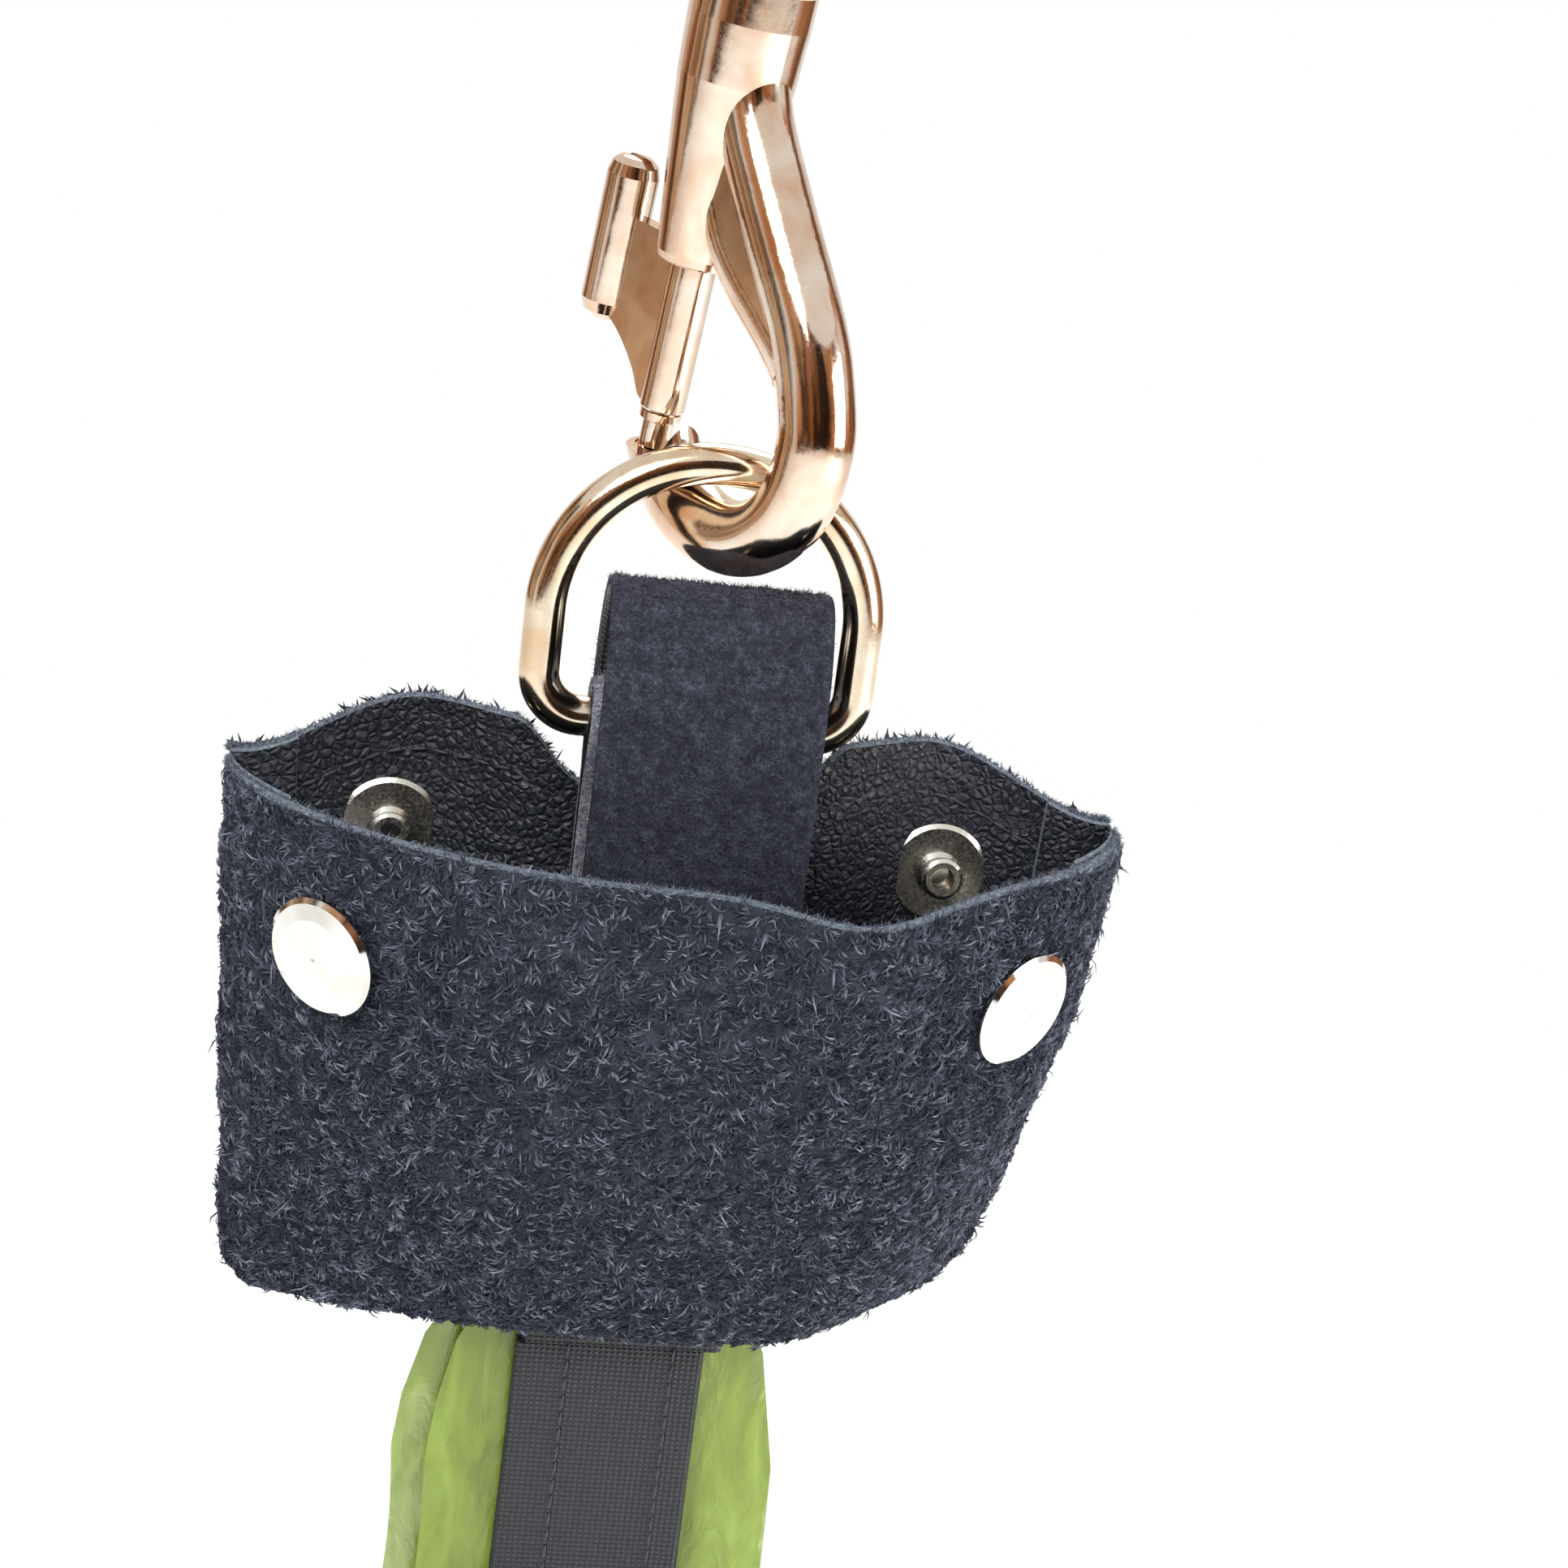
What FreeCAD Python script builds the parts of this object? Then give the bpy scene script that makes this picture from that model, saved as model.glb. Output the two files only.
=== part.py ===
"""Clip-on suede pouch hung from a swivel bolt snap, with a waste-bag film behind its tail.

Frame: millimetres, origin at the centre of the swivel eye, +Z up, +X to the right seen from
the front, front towards -Y. The D-ring lies in the XZ plane and everything hangs from the eye.
"""
import FreeCAD, Part
import math
import os

V = FreeCAD.Vector

# ---------------------------------------------------------------- driving dimensions (mm)
FOLD_Z = -94.0            # top of the strap fold
WEB_W = 25.0              # webbing width
WEB_T = 1.5               # webbing thickness
STRAP_W = 26.6            # the strap's wider tape
STRAP_X = 1.4             # and how far right of the middle it hangs
PILE_T = 1.1              # loop-pile tape on its outside

WIRE_R = 2.5              # D-ring wire
RING_HALF = 19.2          # ring centre line, half width (33 mm ring)
RING_TOP_Z = -81.5        # ring centre line at the hook
BAR_Z = -113.9            # ring centre line along the straight bar
BAR_CORNER = 5.5
FREE = 0.3                # air between pieces that move against each other

HOOK_YAW = 53.0           # hook plane turned from the ring plane
HOOK_R = 13.0             # hook bend, centre line
HOOK_WIRE = 4.5
HOOK_GAP = 1.2            # ring wire above the hook's saddle
BARREL_R = 7.2             # at its shoulder
BARREL_TIP_R = 4.8         # and where the bolt comes out
BARREL_TOP = -16.0        # along the snap's own axis, from the eye centre
BARREL_END = -60.0
BOLT_R = 2.75
BORE_R = 2.82
BOLT_TOP = -41.0
BOLT_STEP = -78.5         # where the bolt necks down
TIP_TOP = -83.0
PIN_R = 1.9
THUMB_A = -13.6           # thumb bar, out from the barrel axis
THUMB_R = 3.2
SLIDE = 9.0               # bolt travel
EYE_R = 10.5
EYE_WIRE = 2.6
STUD_R = 2.2

MOUTH_HALF = 55.0         # pouch, half width at the mouth
FOOT_HALF = 51.5          # and at its foot
MOUTH_Z = FOLD_Z - 29.5   # mouth corners
FOOT_Z = FOLD_Z - 103.0
FRONT_DEPTH = 28.0        # how far the front wall stands out when open
FRONT_BUMP = 4.5          # its extra bulge right of the strap
BACK_LOBE = 8.3           # how far the back wall bulges beside the strap
BEND_FOOT = 16.0          # where the right side starts to bend back, at the foot
BEND_SLOPE = 0.6
HIDE_T = 1.9
SEAM_T = 1.2              # skived seam allowance
SEAM_W = 8.0
BACK_FLAT = 2.8           # inner face of the back wall behind the keeper

CAP_R = 7.5               # press studs, line 24
FOLD_AXIS = (0.462, -0.186, 0.867)    # right-hand fold line; mirrored in X on the left
FOLD_POINT = (MOUTH_HALF + 6.7, 4.5, FOLD_Z - 52.85)
FOLD_ANGLE = 43.1
STUD_X = MOUTH_HALF - 20
STUD_Y = 3.5
STUD_Z = FOLD_Z - 38.75
STUD_PITCH = 7.0

TAIL_END = FOLD_Z - 185.0
BAG_END = FOLD_Z - 190.0


# ---------------------------------------------------------------- helpers
def save(name, shape):
    if shape.ShapeType == "Compound" and len(shape.Solids) == 1:
        shape = shape.Solids[0]
    shape.exportStep("parts/%s.step" % name)


def rod(p, q, r):
    return Part.makeCylinder(r, (q - p).Length, p, q - p)


def turned(points):
    """Solid of revolution about local Z from (radius, height) points."""
    pts = [V(r, 0, z) for r, z in points]
    face = Part.Face(Part.makePolygon(pts + pts[:1]))
    return face.revolve(V(0, 0, 0), V(0, 0, 1), 360)


def curve(points):
    c = Part.BSplineCurve()
    c.interpolate(points)
    return c.toShape()


def curve_wire(points):
    return Part.Wire([curve(points)])


def sweep(path, start, direction, r):
    ring = Part.Wire(Part.makeCircle(r, start, direction))
    return path.makePipeShell([ring], True, False)


def outline(front, back):
    """Closed wire from two open point lists, smooth along each, straight at the ends."""
    return Part.Wire([curve(front), Part.makeLine(front[-1], back[-1]),
                      curve(back[::-1]), Part.makeLine(back[0], front[0])])


def band(path, t0, t1, half, x=0.0):
    """Strip of webbing: (y, z) path, thickness from t0 to t1 to its left, width along X."""
    def side(t):
        out = []
        for i, (y, z) in enumerate(path):
            a, b = path[max(i - 1, 0)], path[min(i + 1, len(path) - 1)]
            dy, dz = b[0] - a[0], b[1] - a[1]
            n = math.hypot(dy, dz)
            out.append(V(x - half, y - dz / n * t, z + dy / n * t))
        return out
    return Part.Face(outline(side(t0), side(t1))).extrude(V(2 * half, 0, 0))


def mirrored(shape):
    return shape.mirror(V(0, 0, 0), V(1, 0, 0))


def smooth(t):
    t = max(0.0, min(1.0, t))
    return t * t * (3 - 2 * t)


# ---------------------------------------------------------------- the snap's own frame
SADDLE_Z = RING_TOP_Z - WIRE_R - HOOK_GAP          # hook's inner low point, world
SADDLE_S = -math.sqrt(SADDLE_Z ** 2 - HOOK_R ** 2)  # the same along the snap's axis
BEND_S = SADDLE_S + HOOK_R - HOOK_WIRE
LEAN = math.degrees(math.asin(HOOK_R / -SADDLE_Z))  # so that the eye hangs over the ring


def place(shape):
    """Local X runs to the bow, local Z up the barrel."""
    s = shape.copy()
    s.rotate(V(0, 0, 0), V(0, 1, 0), LEAN)
    s.rotate(V(0, 0, 0), V(0, 0, 1), -HOOK_YAW)
    return s


def swivel():
    ring = Part.makeTorus(EYE_R, EYE_WIRE, V(0, 0, 0), V(0, 1, 0))
    neck = turned([(0, -15.8), (4.4, -15.8), (4.7, -15.2), (4.4, -14.3), (3.3, -13.6),
                   (2.9, -12.2), (2.7, -10.5), (0, -10.5)])
    eye = ring.fuse(neck).removeSplitter().cut(rod(V(0, 0, -16), V(0, 0, -13), 2.0))
    rivet = turned([(0, -13), (2.0, -13), (2.0, -15.8), (STUD_R, -15.8), (STUD_R, -21.6),
                    (2.65, -21.6), (2.65, -22.3), (2.0, -23.0), (0, -23.2)])
    for name, s in (("swivel_eye", eye), ("swivel_rivet", rivet)):
        s.rotate(V(0, 0, 0), V(0, 0, 1), HOOK_YAW)     # the eye faces front
        save(name, place(s))


def snap_body():
    e = BARREL_END
    r, t = BARREL_R, BARREL_TIP_R
    barrel = turned([(0, e), (t - 0.8, e), (t - 0.2, e + 0.35), (t, e + 1.2), (t + 0.9, -50),
                     (r - 0.3, -38), (r, -31), (r, -22), (6.4, -19.2), (5.2, -17.0),
                     (4.6, BARREL_TOP), (0, BARREL_TOP)])
    collar = turned([(0, -27), (r, -27), (r + 0.45, -26.2), (r + 0.45, -24.8), (r, -24), (0, -24)])
    bow = [V(2.0, 0, -36.5), V(4.2, 0, -41), V(8.0, 0, -46.2), V(15.6, 0, -55.2),
           V(22.2, 0, -63.6), V(25.4, 0, -70.4), V(2 * HOOK_R, 0, BEND_S)]
    start = bow[1] - bow[0]
    c = Part.BSplineCurve()
    c.interpolate(bow, InitialTangent=start.normalize(), FinalTangent=V(0, 0, -1))
    bend = Part.Arc(V(2 * HOOK_R, 0, BEND_S), V(HOOK_R, 0, BEND_S - HOOK_R), V(0, 0, BEND_S))
    path = Part.Wire([c.toShape(), bend.toShape()])
    hook = sweep(path, bow[0], start, HOOK_WIRE)
    crotch = [V(1.0, 0, -44.0), V(3.2, 0, -50.4), V(7.4, 0, -56.2), V(13.4, 0, -60.4), V(21.0, 0, -65.6)]
    web = sweep(curve_wire(crotch), crotch[0], crotch[1] - crotch[0], HOOK_WIRE - 0.8)
    cheek = Part.Face(outline(bow[:5], crotch)).extrude(V(0, 7.2, 0))       # solid between the two
    cheek.translate(V(0, -3.6, 0))
    body = barrel.fuse([collar, hook, web, cheek]).removeSplitter()
    body = body.cut(Part.makeBox(10, 12, 12, V(-5, -6, TIP_TOP)))          # flat hook tip
    body = body.cut(rod(V(0, 0, e - 2), V(0, 0, -21.5), BORE_R))          # bolt and spring bore
    body = body.cut(rod(V(0, 0, -22), V(0, 0, -15), STUD_R + 0.06))
    body = body.cut(rod(V(0, 0, TIP_TOP - 0.9), V(0, 0, TIP_TOP + 1), PIN_R + 0.4))
    body = body.cut(Part.makeBox(8, 2.9, 13, V(-8, -1.45, e - 1)))         # thumb slot
    save("snap_body", place(body))


def bolt():
    z = BOLT_STEP
    pin = turned([(0, BOLT_TOP), (BOLT_R - 0.4, BOLT_TOP), (BOLT_R, BOLT_TOP - 0.5), (BOLT_R, z + 0.5),
                  (BOLT_R - 0.4, z), (PIN_R + 0.6, z), (PIN_R + 0.6, z - 0.9), (PIN_R, z - 1.2),
                  (PIN_R, TIP_TOP + 0.1), (PIN_R - 0.5, TIP_TOP - 0.4), (0, TIP_TOP - 0.4)])
    a, r = THUMB_A, THUMB_R
    bar = turned([(0, -71.6), (1.7, -71.4), (2.7, -70.6), (r, -69.2), (r, -53.6), (2.8, -52.2),
                  (1.9, -51.5), (0, -51.3)])
    bar = bar.cut(Part.makeBox(8, 1.4, 1.6, V(-4, -0.7, -52.4)))            # notch on top
    bar.translate(V(a, 0, 0))
    foot = [V(a, 0, -70.2), V(a + 3.2, 0, -71.2), V(a + 6.6, 0, -73.6), V(-4.6, 0, -76.2),
            V(-3.2, 0, z + 0.6), V(-1.8, 0, z + 0.6)]
    top = BARREL_END + 2.0
    web = Part.Face(Part.Wire([curve(foot), Part.makeLine(foot[-1], V(-2, 0, top)),
                               Part.makeLine(V(-2, 0, top), V(a, 0, top)),
                               Part.makeLine(V(a, 0, top), foot[0])])).extrude(V(0, 2.3, 0))
    web.translate(V(0, -1.15, 0))
    thumb = bar.fuse(web).removeSplitter().cut(rod(V(0, 0, -84), V(0, 0, -50), BOLT_R))
    save("bolt", place(pin))
    save("thumb_piece", place(thumb))
    low, high, wire = BOLT_TOP + 0.5, -23.7, 0.4
    helix = Part.makeHelix((high - low) / 7.0, high - low, 2.2)
    helix.translate(V(0, 0, low))
    coil = Part.Wire(helix.Edges).makePipeShell(
        [Part.Wire(Part.makeCircle(wire, V(2.2, 0, low), V(0, 1, 0)))], True, True)
    save("bolt_spring", place(coil))


# ---------------------------------------------------------------- ring, keeper and strap
def d_ring():
    r, c, h = RING_HALF, BAR_CORNER, BAR_Z
    mid = RING_TOP_Z - r
    k = c * (1 - math.sqrt(0.5))
    edges = [
        Part.Arc(V(r, 0, mid), V(0, 0, RING_TOP_Z), V(-r, 0, mid)).toShape(),
        Part.makeLine(V(-r, 0, mid), V(-r, 0, h + c)),
        Part.Arc(V(-r, 0, h + c), V(-r + k, 0, h + k), V(-r + c, 0, h)).toShape(),
        Part.makeLine(V(-r + c, 0, h), V(r - c, 0, h)),
        Part.Arc(V(r - c, 0, h), V(r - k, 0, h + k), V(r, 0, h + c)).toShape(),
        Part.makeLine(V(r, 0, h + c), V(r, 0, mid))]
    save("d_ring", sweep(Part.Wire(edges), V(r, 0, mid), V(0, 0, 1), WIRE_R))


KEEP_R = WIRE_R + FREE                    # inside of the loop round the bar
KEEP_FOOT = BAR_Z - 24.0
TONGUE_Z = BAR_Z - KEEP_R - 5.3               # where its two sides meet
FRONT_LEG = -(KEEP_R + WEB_T + PILE_T) - 2.8   # inner face of the front leg
BACK_LEG = BACK_FLAT + HIDE_T + 0.25           # inner face of the back leg


def teardrop(r, t, half):
    """Loop round the bar that closes to a flat tongue of half thickness t."""
    a = math.radians(20)
    pts = [V(-half, y, z) for y, z in (
        (r * math.cos(a), BAR_Z - r * math.sin(a)), (t, TONGUE_Z), (t, KEEP_FOOT),
        (-t, KEEP_FOOT), (-t, TONGUE_Z), (-r * math.cos(a), BAR_Z - r * math.sin(a)))]
    tongue = Part.Face(Part.makePolygon(pts + pts[:1])).extrude(V(2 * half, 0, 0))
    return tongue.fuse(rod(V(-half, 0, BAR_Z), V(half, 0, BAR_Z), r)).removeSplitter()


def keeper():
    half = WEB_W / 2
    web = teardrop(KEEP_R + WEB_T, WEB_T, half)
    pile = teardrop(KEEP_R + WEB_T + PILE_T, WEB_T + PILE_T, half).cut(web)
    save("keeper_webbing", web.cut(rod(V(-20, 0, BAR_Z), V(20, 0, BAR_Z), KEEP_R)))
    save("keeper_pile", pile)


def strap():
    z, half = FOLD_Z, WEB_W / 2
    f, b, t = FRONT_LEG, BACK_LEG, WEB_T + PILE_T
    over = [(f, z - 78), (f, z - 60), (f, z - 40), (f, z - 24), (f + 0.1, z - 15), (f + 1.3, z - 9.4),
            (f + 3.9, z - t - 2.4), (f + 6.4, z - t - 1.5), (b - 4.2, z - t - 2.2), (b - 1.2, z - 8.4),
            (b + 0.5, z - 13.6), (b + 0.8, z - 19.9), (b + 0.5, z - 25), (b, z - 32), (b, z - 44),
            (b, z - 60), (b, z - 90), (b, z - 108)]
    save("strap_webbing", band(over, 0, WEB_T, STRAP_W / 2, STRAP_X))
    save("strap_pile", band(over, WEB_T, t, STRAP_W / 2, STRAP_X))
    tail = [(b, z - 108), (b, z - 115), (b + 0.3, z - 135), (b + 0.9, z - 160), (b + 1.2, TAIL_END)]
    save("tail_webbing", band(tail, 0, WEB_T, half))
    save("tail_pile", band(tail, WEB_T, t, half))
    liner = [(f, z - 76), (f, z - 56), (f, z - 36), (f, z - 24), (f + 0.05, z - 16)]
    save("strap_liner", band(liner, -2.4, -0.3, STRAP_W / 2 - 0.6, STRAP_X))
    tack = Part.makeBox(WEB_W - 4, 0.5, 2.4, V(-half + 2, -(WEB_T + PILE_T) - 0.5, KEEP_FOOT + 3))
    save("keeper_bartack", tack)


# ---------------------------------------------------------------- the pouch
def edge_y(u):
    t = max(0.0, (abs(u) - 0.25) / 0.75)
    return BACK_FLAT - SEAM_T + 2.5 * t * t


def bump(u):
    return math.exp(-((u - 0.36) / 0.2) ** 2)


def front_gap(u, v):
    full = max(0.0, 1 - abs(u) ** 2.5) ** 0.6
    return (FRONT_DEPTH * full + FRONT_BUMP * bump(u) * (1 - v)) * (1 - v ** 1.6)


def back_gap(u, v):
    t = max(0.0, (abs(u) - 0.25) / 0.75)
    return BACK_LOBE * (1 - v) ** 1.2 * math.sin(math.pi * t) ** 2


def front_rim(u):
    return MOUTH_Z - 1.5 * math.cos(math.pi / 2 * u) ** 2 - 2.0 * bump(u)


def back_rim(u):
    u = abs(u)
    return MOUTH_Z + 7.0 * smooth((1 - u) / 0.45) * smooth((u - 0.22) / 0.16) + 1.5 * (1 - smooth(u / 0.3))


def bend(x, z):
    """The right side folds back along a slanting ridge: offsets in X and Y."""
    t = x - BEND_FOOT - 40.0 * (z - FOOT_Z) / (MOUTH_Z - FOOT_Z)
    t = 0.0 if t < 0 else (t * t / 20 if t < 10 else t - 5)
    return -0.11 * t, BEND_SLOPE * t


def foot(u):
    return FOOT_Z + 2.4 * u * u - 0.8 * u


def wall_point(u, v, rim, side, depth):
    """Point on a wall's inner face, moved depth outwards (side -1 front, +1 back)."""
    z = rim(u) + v * (foot(u) - rim(u))
    w = FOOT_HALF + (MOUTH_HALF - FOOT_HALF) * (z - FOOT_Z) / (MOUTH_Z - FOOT_Z)
    gap = front_gap if side < 0 else back_gap
    d = 0.01
    ua, ub = max(-1.0, u - d), min(1.0, u + d)
    slope = (edge_y(ub) + side * gap(ub, v) - edge_y(ua) - side * gap(ua, v)) / ((ub - ua) * w)
    tilt = side * (gap(u, min(1, v + d)) - gap(u, max(0, v - d))) / (2 * d * (foot(u) - rim(u)))
    thick = depth * math.sqrt(1 + min(abs(slope), 1.2) ** 2 + tilt * tilt)
    dx, dy = bend(u * w, z)
    return V(u * w + dx, edge_y(u) + side * (SEAM_T + gap(u, v) + thick) + dy, z)


def skin(inner, outer):
    """Solid between two grids of points."""
    a, b = Part.BSplineSurface(), Part.BSplineSurface()
    a.interpolate(inner)
    b.interpolate(outer)
    u0, u1, v0, v1 = a.bounds()
    faces = [a.toShape(), b.toShape()]
    for pa, pb in ((a.uIso(u0), b.uIso(b.bounds()[0])), (a.uIso(u1), b.uIso(b.bounds()[1])),
                   (a.vIso(v0), b.vIso(b.bounds()[2])), (a.vIso(v1), b.vIso(b.bounds()[3]))):
        faces.append(Part.makeRuledSurface(pa.toShape(), pb.toShape()))
    shell = Part.makeShell(faces)
    shell.sewShape()
    solid = Part.makeSolid(shell)
    if solid.Volume < 0:
        solid.reverse()
    return solid


def grid(u0, u1, v0, v1, count, rows):
    a0, a1 = math.asin(u0), math.asin(u1)      # closer together at the side seams
    return [[(math.sin(a0 + (a1 - a0) * i / (count - 1)), v0 + (v1 - v0) * j / (rows - 1))
             for j in range(rows)] for i in range(count)]


def wall(rim, side, d0, d1, u0=-1.0, u1=1.0, v0=0.0, v1=1.0, count=25, rows=9):
    cells = grid(u0, u1, v0, v1, count, rows)
    return skin(*[[[wall_point(u, v, rim, side, d) for u, v in row] for row in cells]
                  for d in (d0, d1)])


def rounded_foot():
    """Everything outside the pouch's rounded lower corners."""
    r, z = 9.0, foot(1)
    k = r * (1 - math.sqrt(0.5))
    tools = []
    for w in (FOOT_HALF, FOOT_HALF + bend(FOOT_HALF, z)[0]):
        arc = Part.Arc(V(w, -60, z + r), V(w - k, -60, z + k), V(w - r, -60, z)).toShape()
        pts = [V(w - r, -60, z), V(w - r, -60, z - 9), V(w + 9, -60, z - 9), V(w + 9, -60, z + r),
               V(w, -60, z + r)]
        tools.append(Part.Face(Part.Wire([arc] + Part.makePolygon(pts).Edges)).extrude(V(0, 120, 0)))
    return [mirrored(tools[0]), tools[1]]


def pouch(pockets, seats):
    trim = rounded_foot()
    front = wall(front_rim, -1, 0, HIDE_T)
    for tool in trim + pockets:
        front = front.cut(tool)
    save("front_panel", front)
    back = wall(back_rim, 1, 0, HIDE_T)
    for tool in trim + seats:
        back = back.cut(tool)
    save("back_panel", back)
    inset = 1 - SEAM_W / MOUTH_HALF
    for name, a, b in (("seam_allowance_l", -1.0, -inset), ("seam_allowance_r", inset, 1.0)):
        flaps = [wall(rim, side, 0.1 - SEAM_T, -0.32, a, b, 0.0, 0.86, 9)
                 for rim, side in ((front_rim, -1), (back_rim, 1))]
        save(name, Part.Compound(flaps))
    cells = grid(-0.93, 0.93, 0.91, 1.0, 17, 4)
    near = [[wall_point(u, v, front_rim, -1, -0.22) for u, v in row] for row in cells]
    far = [[p + V(0, 2 * SEAM_T + front_gap(u, v) - 0.44, 0) for p, (u, v) in zip(line, row)]
           for line, row in zip(near, cells)]
    save("bottom_seam", skin(near, far).cut(trim[0]).cut(trim[1]))


# ---------------------------------------------------------------- press studs
def stud_frame(shape):
    """From a local frame (Z outwards through the wall) to the closed press stud, right hand."""
    s = shape.copy()
    s.rotate(V(0, 0, 0), V(1, 0, 0), 90 - STUD_PITCH)
    s.translate(V(STUD_X, STUD_Y, STUD_Z))
    return s


def opened(shape):
    s = stud_frame(shape)
    s.rotate(V(*FOLD_POINT), V(*FOLD_AXIS), FOLD_ANGLE)
    return s


def press_studs():
    half = HIDE_T / 2
    cap = turned([(0, half + FREE), (6.2, half + FREE), (CAP_R, half + FREE + 0.2), (CAP_R, half + 0.8),
                  (6.9, half + 1.25), (5.0, half + 1.75), (2.6, half + 2.0), (0, half + 2.1)])
    cap = cap.fuse(rod(V(0, 0, -half - FREE - 0.6), V(0, 0, half + 0.6), 1.7))
    low = -half - FREE
    socket = turned([(1.7, low), (6.2, low), (6.2, low - 0.9), (5.0, low - 1.5), (4.3, -5.0),
                     (3.05, -5.0), (3.05, low - 0.6), (1.7, low - 0.6)])
    stud = turned([(1.5, -6.25), (6.5, -6.25), (6.5, -5.7), (5.9, -5.4), (2.9, -5.4), (2.3, -4.9),
                   (2.3, -3.4), (2.65, -3.0), (2.65, -2.4), (2.2, -2.05), (1.5, -2.05)])
    eyelet = turned([(0, -9.0), (3.6, -8.9), (4.6, -8.5), (4.6, -8.2), (1.45, -8.2), (1.45, -4.2),
                     (0, -4.2)])
    for name, s in (("snap_stud", stud), ("stud_eyelet", eyelet)):
        s = stud_frame(s)
        save(name + "_r", s)
        save(name + "_l", mirrored(s))
    for name, s in (("snap_cap", cap), ("snap_socket", socket)):
        s = opened(s)
        save(name + "_r", s)
        save(name + "_l", mirrored(s))
    # the hide is dished under the cap and holed for its rivet
    dish = turned([(0, half - 0.1), (CAP_R + 0.5, half - 0.1), (CAP_R + 0.5, half + 4), (0, half + 4)])
    under = turned([(0, -half + 0.1), (6.7, -half + 0.1), (6.7, -half - 5), (0, -half - 5)])
    hole = rod(V(0, 0, -4), V(0, 0, 4), 2.1)
    tools = [opened(s) for s in (dish, under, hole)]
    seat = turned([(0, -10), (4.8, -10), (4.8, -8.2), (1.5, -8.2), (1.5, -6.25), (6.7, -6.25),
                   (6.7, -3), (0, -3)])
    seat = stud_frame(seat)
    return tools + [mirrored(s) for s in tools], [seat, mirrored(seat)]


# ---------------------------------------------------------------- film bag behind the tail
def slab(width, depth, y, z, x=0.0):
    """Rounded flat section, y to its front face."""
    a, b = width / 2, depth / 2
    pts = []
    for i in range(24):
        t = 2 * math.pi * i / 24
        c, s = math.cos(t), math.sin(t)
        pts.append(V(x + a * math.copysign(abs(c) ** 0.7, c), y + b + b * math.copysign(abs(s) ** 0.7, s), z))
    w = Part.BSplineCurve()
    w.interpolate(pts, PeriodicFlag=True)
    return Part.Wire(w.toShape())


def waste_bag():
    y = BACK_LEG + WEB_T + PILE_T + 0.12
    z = FOLD_Z
    rows = ((22, 1.0, y, z - 78, 0), (23, 1.0, y, z - 90, 0), (38, 2.0, y, z - 101, -1),
            (47, 3.4, y + 0.1, z - 110, -2), (55, 4.6, y + 0.6, z - 128, -2.5),
            (57, 5.4, y + 1.2, z - 150, -2.5), (56, 5.6, y + 1.8, z - 172, -2), (54, 3.6, y + 2.4, BAG_END, -2))
    save("waste_bag", Part.makeLoft([slab(*r) for r in rows], True, False))
    p = y - 0.1
    side = ((p, z - 62), (p + 1.6, z - 62), (p + 3.0, z - 78), (p + 3.0, z - 90), (p + 1.4, z - 90),
            (p + 1.4, z - 77.5), (p, z - 75.5))
    tab = [V(-WEB_W / 2, y, z) for y, z in side]
    save("clamp_tab", Part.Face(Part.makePolygon(tab + tab[:1])).extrude(V(WEB_W, 0, 0)))


os.makedirs("parts", exist_ok=True)
swivel()
snap_body()
bolt()
d_ring()
keeper()
strap()
pockets, seats = press_studs()
pouch(pockets, seats)
waste_bag()
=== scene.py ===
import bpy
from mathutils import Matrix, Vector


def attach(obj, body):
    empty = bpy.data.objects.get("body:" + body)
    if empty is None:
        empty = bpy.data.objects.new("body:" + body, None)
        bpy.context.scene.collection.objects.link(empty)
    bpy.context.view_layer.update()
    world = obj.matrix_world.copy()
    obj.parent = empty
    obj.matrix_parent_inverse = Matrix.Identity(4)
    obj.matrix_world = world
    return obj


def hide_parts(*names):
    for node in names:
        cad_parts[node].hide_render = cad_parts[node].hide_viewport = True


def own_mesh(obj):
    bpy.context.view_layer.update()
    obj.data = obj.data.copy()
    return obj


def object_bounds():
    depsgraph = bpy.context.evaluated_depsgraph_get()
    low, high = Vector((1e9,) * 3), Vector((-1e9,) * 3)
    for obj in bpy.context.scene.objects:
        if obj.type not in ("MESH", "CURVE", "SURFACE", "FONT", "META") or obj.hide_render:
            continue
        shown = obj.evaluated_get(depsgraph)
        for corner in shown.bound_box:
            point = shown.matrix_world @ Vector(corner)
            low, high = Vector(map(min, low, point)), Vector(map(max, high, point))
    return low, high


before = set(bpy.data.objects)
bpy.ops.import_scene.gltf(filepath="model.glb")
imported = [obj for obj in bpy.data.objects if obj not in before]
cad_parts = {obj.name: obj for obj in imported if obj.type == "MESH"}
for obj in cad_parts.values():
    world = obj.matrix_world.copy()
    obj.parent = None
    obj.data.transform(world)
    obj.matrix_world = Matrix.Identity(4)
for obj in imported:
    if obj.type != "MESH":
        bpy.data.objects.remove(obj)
"""Dresses the clip-on suede pouch: napped hide, pile strap, woven tail, green film and nickel.

Lengths are millimetres in the frame's axes (origin at the swivel eye, +Z up, front -Y) and
become metres when a mesh is made. The pouch's walls follow the sizes of the model's source.
"""
import math

import bpy
import numpy as np
from mathutils import Matrix, Vector, noise

MM = 0.001
CAD_BOX = [list(corner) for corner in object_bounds()]


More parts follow.
